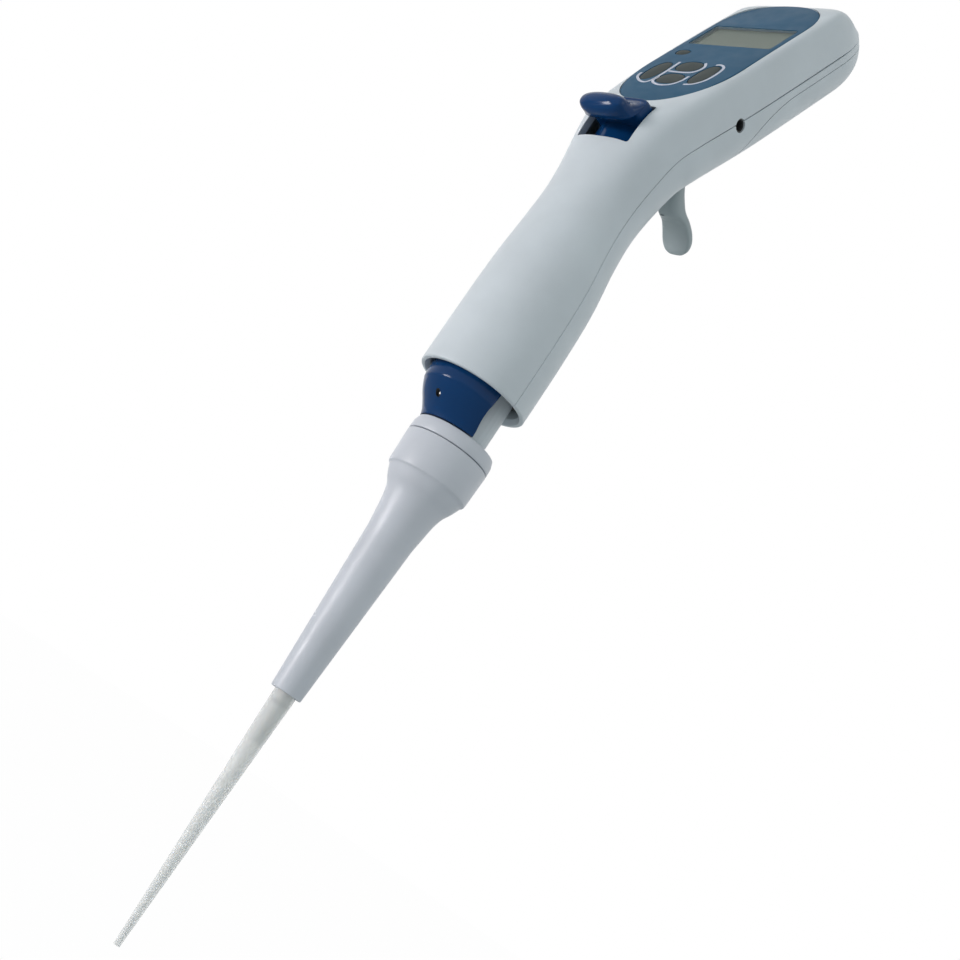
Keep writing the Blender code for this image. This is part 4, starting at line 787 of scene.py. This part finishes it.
def make_lever():
    """The lever's nose, with a curved shield and a foot behind the window."""
    window_y = -HANDLE_FORWARD - WAIST_RADIUS - 0.2
    top = WINDOW_TOP - 0.4
    bottom = top - LEVER_DEPTH
    half_top = window_half(top - EJECT_STROKE) - GAP
    half_bottom = window_half(bottom - EJECT_STROKE) - GAP
    # Shares of the reach and the width, and how far the lower and upper faces rise
    nose = (
        (0.0, 1.0, 0.0, 0.1), (0.12, 0.98, -0.2, -1.1), (0.24, 0.95, -2.4, -2.5), (0.38, 0.91, -3.4, -3.1),
        (0.56, 0.88, -3.8, -3.4), (0.75, 0.86, -3.8, -3.8), (0.9, 0.77, -3.3, -4.6), (1.0, 0.5, -2.1, -5.9),
    )
    rows = [(-10.0, 1.0, bottom, top)]
    for share, width, low, high in nose:
        rows.append((window_y - LEVER_REACH * share, width, bottom + low, top + high))
    rings = []
    for y, width, low, high in smoothed(rows):
        half_height = (high - low) / 2
        power = 2.4 + 3.2 * max(0.0, (width - 0.9) / 0.1)
        ring = []
        for x, z in oval(width, half_height, power, 64):
            half_x = half_bottom + (half_top - half_bottom) * (z / half_height + 1) / 2
            ring.append(at_axis(x * half_x, y, z + (low + high) / 2))
        rings.append(ring)
    lever = piece("lever_tongue", skin(rings), NAVY, "ejector", ["thumb_lever"], sharp=SOFT_SHARP)

    outer = WAIST_RADIUS - WALL - GAP / 2
    foot_bottom = ROD_TOP + GAP
    rings = []
    for height in (foot_bottom, bottom + 1.5):
        ring = []
        for radius, order in ((outer, 1), (outer - SHIELD_WALL, -1)):
            for i in range(SHIELD_STEPS + 1)[::order]:
                angle = math.radians(-SHIELD_SPREAD + 2 * SHIELD_SPREAD * i / SHIELD_STEPS)
                y = -WAIST_FORWARD + 0.4 - radius * math.cos(angle)
                ring.append(at_axis(radius * math.sin(angle), y, height))
        rings.append(ring)
    foot_top = bottom + 1.0
    foot = block("foot", at_axis, (-3, -ROD_FORWARD - 2.6, foot_bottom), (3, -ROD_FORWARD + 2.6, foot_top))
    carve(lever, [cutter("shield", rings), foot], "UNION", sharp=SOFT_SHARP)


def make_skirt():
    """The skirt's curved shield, its bridge to the rod, and its small hole, painted dark inside as painted
    shade.
    """
    top_outer = HANDLE_RADIUS - WALL - 0.8
    bottom_outer = COLLAR_TOP_RADIUS - 0.1
    # Height, share of the flare, and the shield's reach round each side in degrees
    rows = [(RING_HEIGHT + GAP, 0.0, 62.0), (6.0, 0.12, 63.5), (8.0, 0.38, 66.0), (10.0, 0.68, 70.0),
            (12.0, 0.9, 74.0), (14.0, 1.0, 77.0), (SKIRT_TOP, 1.0, 80.0)]
    rings = []
    for height, flare, spread in smoothed(rows):
        outer = bottom_outer + (top_outer - bottom_outer) * flare
        forward = HANDLE_FORWARD * flare
        ring = []
        for radius, order in ((outer, 1), (outer - SKIRT_WALL, -1)):
            for i in range(SKIRT_STEPS + 1)[::order]:
                share = -1 + 2 * i / SKIRT_STEPS
                angle = math.radians(spread * share)
                edge = max(0.0, abs(share) - 1 + SKIRT_EDGE_SHARE) / SKIRT_EDGE_SHARE
                shift = SKIRT_EDGE * (1 - math.sqrt(max(0.0, 1 - edge ** 2))) * order
                reach = radius - shift
                ring.append(at_axis(reach * math.sin(angle), -forward - reach * math.cos(angle), height))
        rings.append(ring)
    skirt = piece("skirt_shield", skin(rings), NAVY, "ejector", ["ejector_skirt"], sharp=SOFT_SHARP)
    front = -HANDLE_FORWARD - top_outer + SKIRT_WALL / 2
    bridge = block("bridge", at_axis, (-3.2, front, SKIRT_TOP - 2.4), (3.2, -ROD_FORWARD + 2.2, SKIRT_TOP))
    carve(skirt, [bridge], "UNION", sharp=SOFT_SHARP)
    hole = [[at_axis(x, y, HOLE_HEIGHT + z) for x, z in circle(HOLE_RADIUS, 32)] for y in (-20, HOLE_FLOOR)]
    carve(skirt, [cutter("hole", hole)], sharp=SOFT_SHARP)
    # Painted shade: the hole's walls and floor take the near-black seal rubber, so that the hole looks dark
    skirt.data.materials.append(SEAL_AND_HOLE_SHADE)
    middle = at_axis(0.0, HOLE_FLOOR + 0.5, HOLE_HEIGHT)
    for face in skirt.data.polygons:
        distance = math.hypot(face.center.x, face.center.z - middle.z)
        if face.center.y < middle.y and distance < (HOLE_RADIUS + 0.01) * MM:
            face.material_index = 1


def make_trigger():
    """The trigger's blade, with its hub, its tail, a crevice at its root and a dish under its end."""
    # Place along the trigger, half width, half height, rise and depth of the dish
    rows = [
        (2.0, 3.8, 1.6, 0.0, 0.0), (7.4, 3.8, 1.8, 0.0, 0.0), (9.2, 3.8, 2.4, -0.6, 0.0),
        (12.0, 3.6, 3.0, -1.2, 0.0), (15.8, 3.7, 3.1, -1.4, 0.0), (17.6, 4.0, 2.6, -0.8, 0.2),
        (19.6, 4.4, 2.3, -0.1, 0.9), (22.5, 4.8, 2.3, 0.2, 1.7), (25.4, 4.8, 2.2, 0.0, 1.6),
        (27.6, 3.9, 1.9, -0.4, 1.0), (28.7, 2.5, 1.2, -0.6, 0.4), (29.0, 1.2, 0.6, -0.6, 0.1),
    ]
    rings = []
    for along, half_x, half_z, rise, dish in smoothed(rows):
        ring = []
        for x, z in oval(half_x, half_z, 2.6, 56):
            hollow = dish * (1 - abs(x / half_x) ** 3) if z < 0 else 0.0
            ring.append(at_trigger(x, along, z + rise + hollow))
        rings.append(ring)
    trigger = piece("trigger_blade", skin(rings), TRIGGER, "trigger", ["trigger"],
                    sharp=SOFT_SHARP)
    hub = trigger_rod("hub", HUB_RADIUS, 40, -3.8, 0.8)
    tail = block("tail", at_trigger, (-1.8, -5.0, -0.8), (0.6, -1.0, 0.8))
    carve(trigger, [hub, tail], "UNION", sharp=SOFT_SHARP)
    crevice = ((-8.0, -9.0), (0.6, -9.0), (0.6, -4.9), (-5.0, -1.2), (-8.0, -1.2))
    carve(trigger, [trigger_prism("groove", crevice, 16.1, 16.7)], sharp=SOFT_SHARP)
    carve(trigger, [trigger_rod("bore", BORE_RADIUS, 32, -8, 8)], sharp=SOFT_SHARP)


def make_jack():
    """The charging jack's barrel, which lines the hole in the shell, with its pin inside."""
    profile = ((0.5, 13.5), (0.5, 10.2), (1.4, 10.2), (1.4, 17.0), (1.5, 17.2), (1.75, 17.2), (1.84, 17.1),
               (1.84, 15.1), (3.1, 15.0), (3.1, 9.0), (1.9, 8.3))
    rings = [jack_ring(radius, across) for radius, across in profile]
    piece("jack_barrel", skin(rings), BLACK, "handset", ["charging_jack"])


def make_spring():
    """The ejector's coil spring, drawn at one length with a mesh of its own; the real spring shortens when
    the lever goes down.
    """
    count = SPRING_TURNS * SPRING_STEPS
    length = SPRING_TOP - SPRING_BOTTOM
    rise = length - 2 * SPRING_WIRE
    rings = []
    for i in range(count + 1):
        share = i / count
        angle = 2 * math.pi * SPRING_TURNS * share
        ring = []
        for k in range(WIRE_SIDES):
            lean = 2 * math.pi * k / WIRE_SIDES
            reach = SPRING_RADIUS + SPRING_WIRE * math.cos(lean)
            height = SPRING_BOTTOM + SPRING_WIRE + rise * share + SPRING_WIRE * math.sin(lean)
            ring.append(at_axis(reach * math.cos(angle), -ROD_FORWARD + reach * math.sin(angle), height))
        rings.append(ring)
    spring = piece("spring_coil", skin(rings), STEEL, "handset", ["ejector_spring"],
                   sharp=WIRE_SHARP)
    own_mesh(spring)


# Sleeve, ring and tip, as outlines of (radius, height) points

def tip_outer(height):
    """The tip's outer radius at this height."""
    return TIP_END_RADIUS + (TIP_TOP_RADIUS - TIP_END_RADIUS) * (height - TIP_END) / (TIP_TOP - TIP_END)


def sleeve_outer(height):
    """The sleeve's outer radius at this height, on its long straight cone."""
    share = (height + SLEEVE_LENGTH) / (CONE_TOP + SLEEVE_LENGTH)
    return SLEEVE_END_RADIUS + (CONE_TOP_RADIUS - SLEEVE_END_RADIUS) * share


def make_sleeve():
    """The collar's lower part and the long sleeve below it, as one hollow piece."""
    cone = [(COLLAR_BOTTOM_RADIUS, -COLLAR_DEPTH + 1.4), (COLLAR_BOTTOM_RADIUS - 0.15, -COLLAR_DEPTH + 0.5),
            (COLLAR_BOTTOM_RADIUS - 0.7, -COLLAR_DEPTH - 0.2), (9.6, -12.6), (8.3, -15.0), (7.5, -18.0),
            (6.95, -22.0), (sleeve_outer(CONE_TOP), CONE_TOP)]
    outside = [(COLLAR_RADIUS - inset, -COLLAR_SEAM - away) for inset, away in COLLAR_EDGE]
    outside += smoothed(cone)
    outside += [(sleeve_outer(height), height) for height in (-30.0, -40.0, -50.0, -60.0)]
    outside += [(SLEEVE_END_RADIUS, -SLEEVE_LENGTH + 0.35), (SLEEVE_END_RADIUS - 0.06, -SLEEVE_LENGTH + 0.1),
                (SLEEVE_END_RADIUS - 0.2, -SLEEVE_LENGTH)]
    step = TIP_TOP + GAP
    mouth = TIP_RIM_RADIUS + GAP
    inside = [(mouth + 0.1, -SLEEVE_LENGTH), (mouth, -SLEEVE_LENGTH + 0.15), (mouth, step),
              (tip_outer(TIP_TOP) - 0.3, step)]
    inside += [(sleeve_outer(height) - SLEEVE_WALL, height) for height in (-62.0, CONE_TOP)]
    inside += [(6.55, -19.0), (6.55, -13.0), (BARREL_RADIUS + 0.9, -10.4), (COLLAR_RADIUS - 1.4, -7.0),
               (COLLAR_RADIUS - 1.4, -COLLAR_SEAM)]
    turned("sleeve_cone", outside + inside, COLLAR, "ejector", ["ejector_sleeve"], 96)


def make_ring():
    """The collar's upper part."""
    inner = BARREL_RADIUS + 0.5
    outside = [(COLLAR_RADIUS - inset, COLLAR_SEAM + away) for inset, away in COLLAR_EDGE]
    outside += [(COLLAR_RADIUS - 0.08, 2.4), (COLLAR_TOP_RADIUS + 0.03, RING_HEIGHT - 0.5),
                (COLLAR_TOP_RADIUS - 0.1, RING_HEIGHT - 0.16), (COLLAR_TOP_RADIUS - 0.45, RING_HEIGHT)]
    profile = [(inner, COLLAR_SEAM)] + outside + [(inner, RING_HEIGHT)]
    turned("collar_ring", profile, COLLAR, "ejector", ["ejector_ring"], 96)


def make_tip():
    """The disposable tip, with its rim."""
    rim_end = TIP_TOP - TIP_RIM - 0.6
    profile = [(tip_outer(TIP_TOP) - TIP_WALL, TIP_TOP), (TIP_RIM_RADIUS - 0.15, TIP_TOP),
               (TIP_RIM_RADIUS, TIP_TOP - 0.15), (TIP_RIM_RADIUS, TIP_TOP - TIP_RIM + 0.2),
               (TIP_RIM_RADIUS - 0.15, TIP_TOP - TIP_RIM), (tip_outer(rim_end), rim_end)]
    profile += [(tip_outer(TIP_END + above), TIP_END + above) for above in (50.0, 35.0, 20.0, 8.0, 0.0)]
    profile += [(0.53, TIP_END), (0.6, TIP_END + 3.0)]
    profile += [(tip_outer(TIP_END + above) - TIP_WALL, TIP_END + above) for above in (12.0, 40.0)]
    turned("tip_cone", profile, TIP, "tip", ["pipette_tip"], 72)


make_shell()
make_panel()
make_display()
make_keys()
make_prints()
make_lever()
make_skirt()
make_trigger()
make_jack()
make_spring()
make_sleeve()
make_ring()
make_tip()


# Materials for the solids that stay

LOOKS = {
    "shell": SHELL, "collar": COLLAR, "navy": NAVY, "panel": PANEL, "key": KEYS, "trigger": TRIGGER,
    "display": LCD, "window": PANE, "tip": TIP, "membrane": PRINT, "board": BOARD, "black": BLACK,
    "seal": SEAL_AND_HOLE_SHADE, "steel": STEEL, "brass": BRASS, "copper": COPPER, "white": WHITE, "cell": CELL,
}
for entry in frame["record"]["subparts"]:
    solid = bpy.data.objects.get(entry["node"])
    if solid is not None:
        for slot in solid.material_slots:
            slot.material = LOOKS[entry["material_slot"]]


# Camera

def make_camera():
    """The picture's viewing angle: from the front right and below, with the pipette leaning over."""
    turn, tilt, roll = math.radians(43.4), math.radians(13.5), math.radians(33.46)
    right = Vector((math.cos(turn), math.sin(turn), 0))
    away = Vector((-math.sin(turn) * math.cos(tilt), math.cos(turn) * math.cos(tilt), math.sin(tilt)))
    up = right.cross(away)
    across = math.cos(roll) * right + math.sin(roll) * up
    upward = -math.sin(roll) * right + math.cos(roll) * up
    eye = Vector((243.2, -241.6, -137.4)) * MM
    lens = bpy.data.cameras.new("camera")
    lens.sensor_width = 36.0
    lens.lens = 52.5
    lens.clip_start = 0.01
    camera = bpy.data.objects.new("camera", lens)
    camera.matrix_world = Matrix((
        (across.x, upward.x, -away.x, eye.x),
        (across.y, upward.y, -away.y, eye.y),
        (across.z, upward.z, -away.z, eye.z),
        (0, 0, 0, 1)))
    bpy.context.scene.collection.objects.link(camera)
    bpy.context.scene.camera = camera
    return across, upward, away


# Studio, in metres: a pale floor, a white surround and soft lamps

PURE_WHITE = (1.0, 1.0, 1.0, 1.0)
FLOOR_HEIGHT = -0.24
FLOOR_HALF = 3.0
FLOOR_GLOW = 0.985


def mix_shaders(tree, share, first, second, output):
    """Link a mix of two shaders to the output."""
    mix = node(tree, "ShaderNodeMixShader")
    tree.links.new(share, mix.inputs["Fac"])
    tree.links.new(first.outputs[0], mix.inputs[1])
    tree.links.new(second.outputs[0], mix.inputs[2])
    tree.links.new(mix.outputs[0], tree.nodes[output].inputs["Surface"])


def make_floor():
    """A pale floor that shows as white to the camera and still takes a faint shadow."""
    data = bmesh.new()
    corners = ((-1, -1), (1, -1), (1, 1), (-1, 1))
    data.faces.new([data.verts.new((x * FLOOR_HALF, y * FLOOR_HALF, FLOOR_HEIGHT)) for x, y in corners])
    floor = object_of("floor", data)
    look = bpy.data.materials.new("floor_white")
    look.use_nodes = True
    tree = look.node_tree
    shader = tree.nodes["Principled BSDF"]
    shader.inputs["Base Color"].default_value = (0.9, 0.9, 0.9, 1.0)
    shader.inputs["Roughness"].default_value = 0.9
    glow = node(tree, "ShaderNodeEmission", Color=PURE_WHITE)
    rays = node(tree, "ShaderNodeLightPath")
    share = node(tree, "ShaderNodeMath", operation="MULTIPLY")
    share.inputs[1].default_value = FLOOR_GLOW
    tree.links.new(rays.outputs["Is Camera Ray"], share.inputs[0])
    mix_shaders(tree, share.outputs[0], shader, glow, "Material Output")
    floor.data.materials.append(look)


def make_world():
    """Soft light from all round, which shows as white behind the pipette and in its gloss."""
    world = bpy.data.worlds.new("studio")
    bpy.context.scene.world = world
    world.use_nodes = True
    tree = world.node_tree
    light = tree.nodes["Background"]
    light.inputs["Color"].default_value = (0.88, 0.97, 0.99, 1.0)
    light.inputs["Strength"].default_value = 0.45
    white = node(tree, "ShaderNodeBackground", Color=PURE_WHITE, Strength=1.0)
    rays = node(tree, "ShaderNodeLightPath")
    first = node(tree, "ShaderNodeMath", operation="MAXIMUM")
    second = node(tree, "ShaderNodeMath", operation="MAXIMUM")
    tree.links.new(rays.outputs["Is Camera Ray"], first.inputs[0])
    tree.links.new(rays.outputs["Is Glossy Ray"], first.inputs[1])
    tree.links.new(first.outputs[0], second.inputs[0])
    tree.links.new(rays.outputs["Is Transmission Ray"], second.inputs[1])
    mix_shaders(tree, second.outputs[0], light, white, "World Output")


def lamp(name, towards, distance, size, watts, colour):
    """A square soft lamp in this direction, aimed at the origin."""
    light = bpy.data.lights.new(name, "AREA")
    light.size = size
    light.energy = watts
    light.color = colour
    made = bpy.data.objects.new(name, light)
    made.location = towards.normalized() * distance
    made.rotation_euler = (-towards).to_track_quat("-Z", "Y").to_euler()
    bpy.context.scene.collection.objects.link(made)


across, upward, away = make_camera()
make_floor()
make_world()
lamp("key_lamp", -across * 0.95 + upward * 0.45 - away * 0.42, distance=1.0, size=0.3, watts=8.0,
     colour=(1.0, 0.96, 0.97))
lamp("fill_lamp", across * 0.85 + upward * 0.4 - away * 0.55, distance=1.2, size=0.6, watts=1.7,
     colour=(0.94, 1.0, 1.0))

bpy.context.scene.view_settings.view_transform = "Standard"
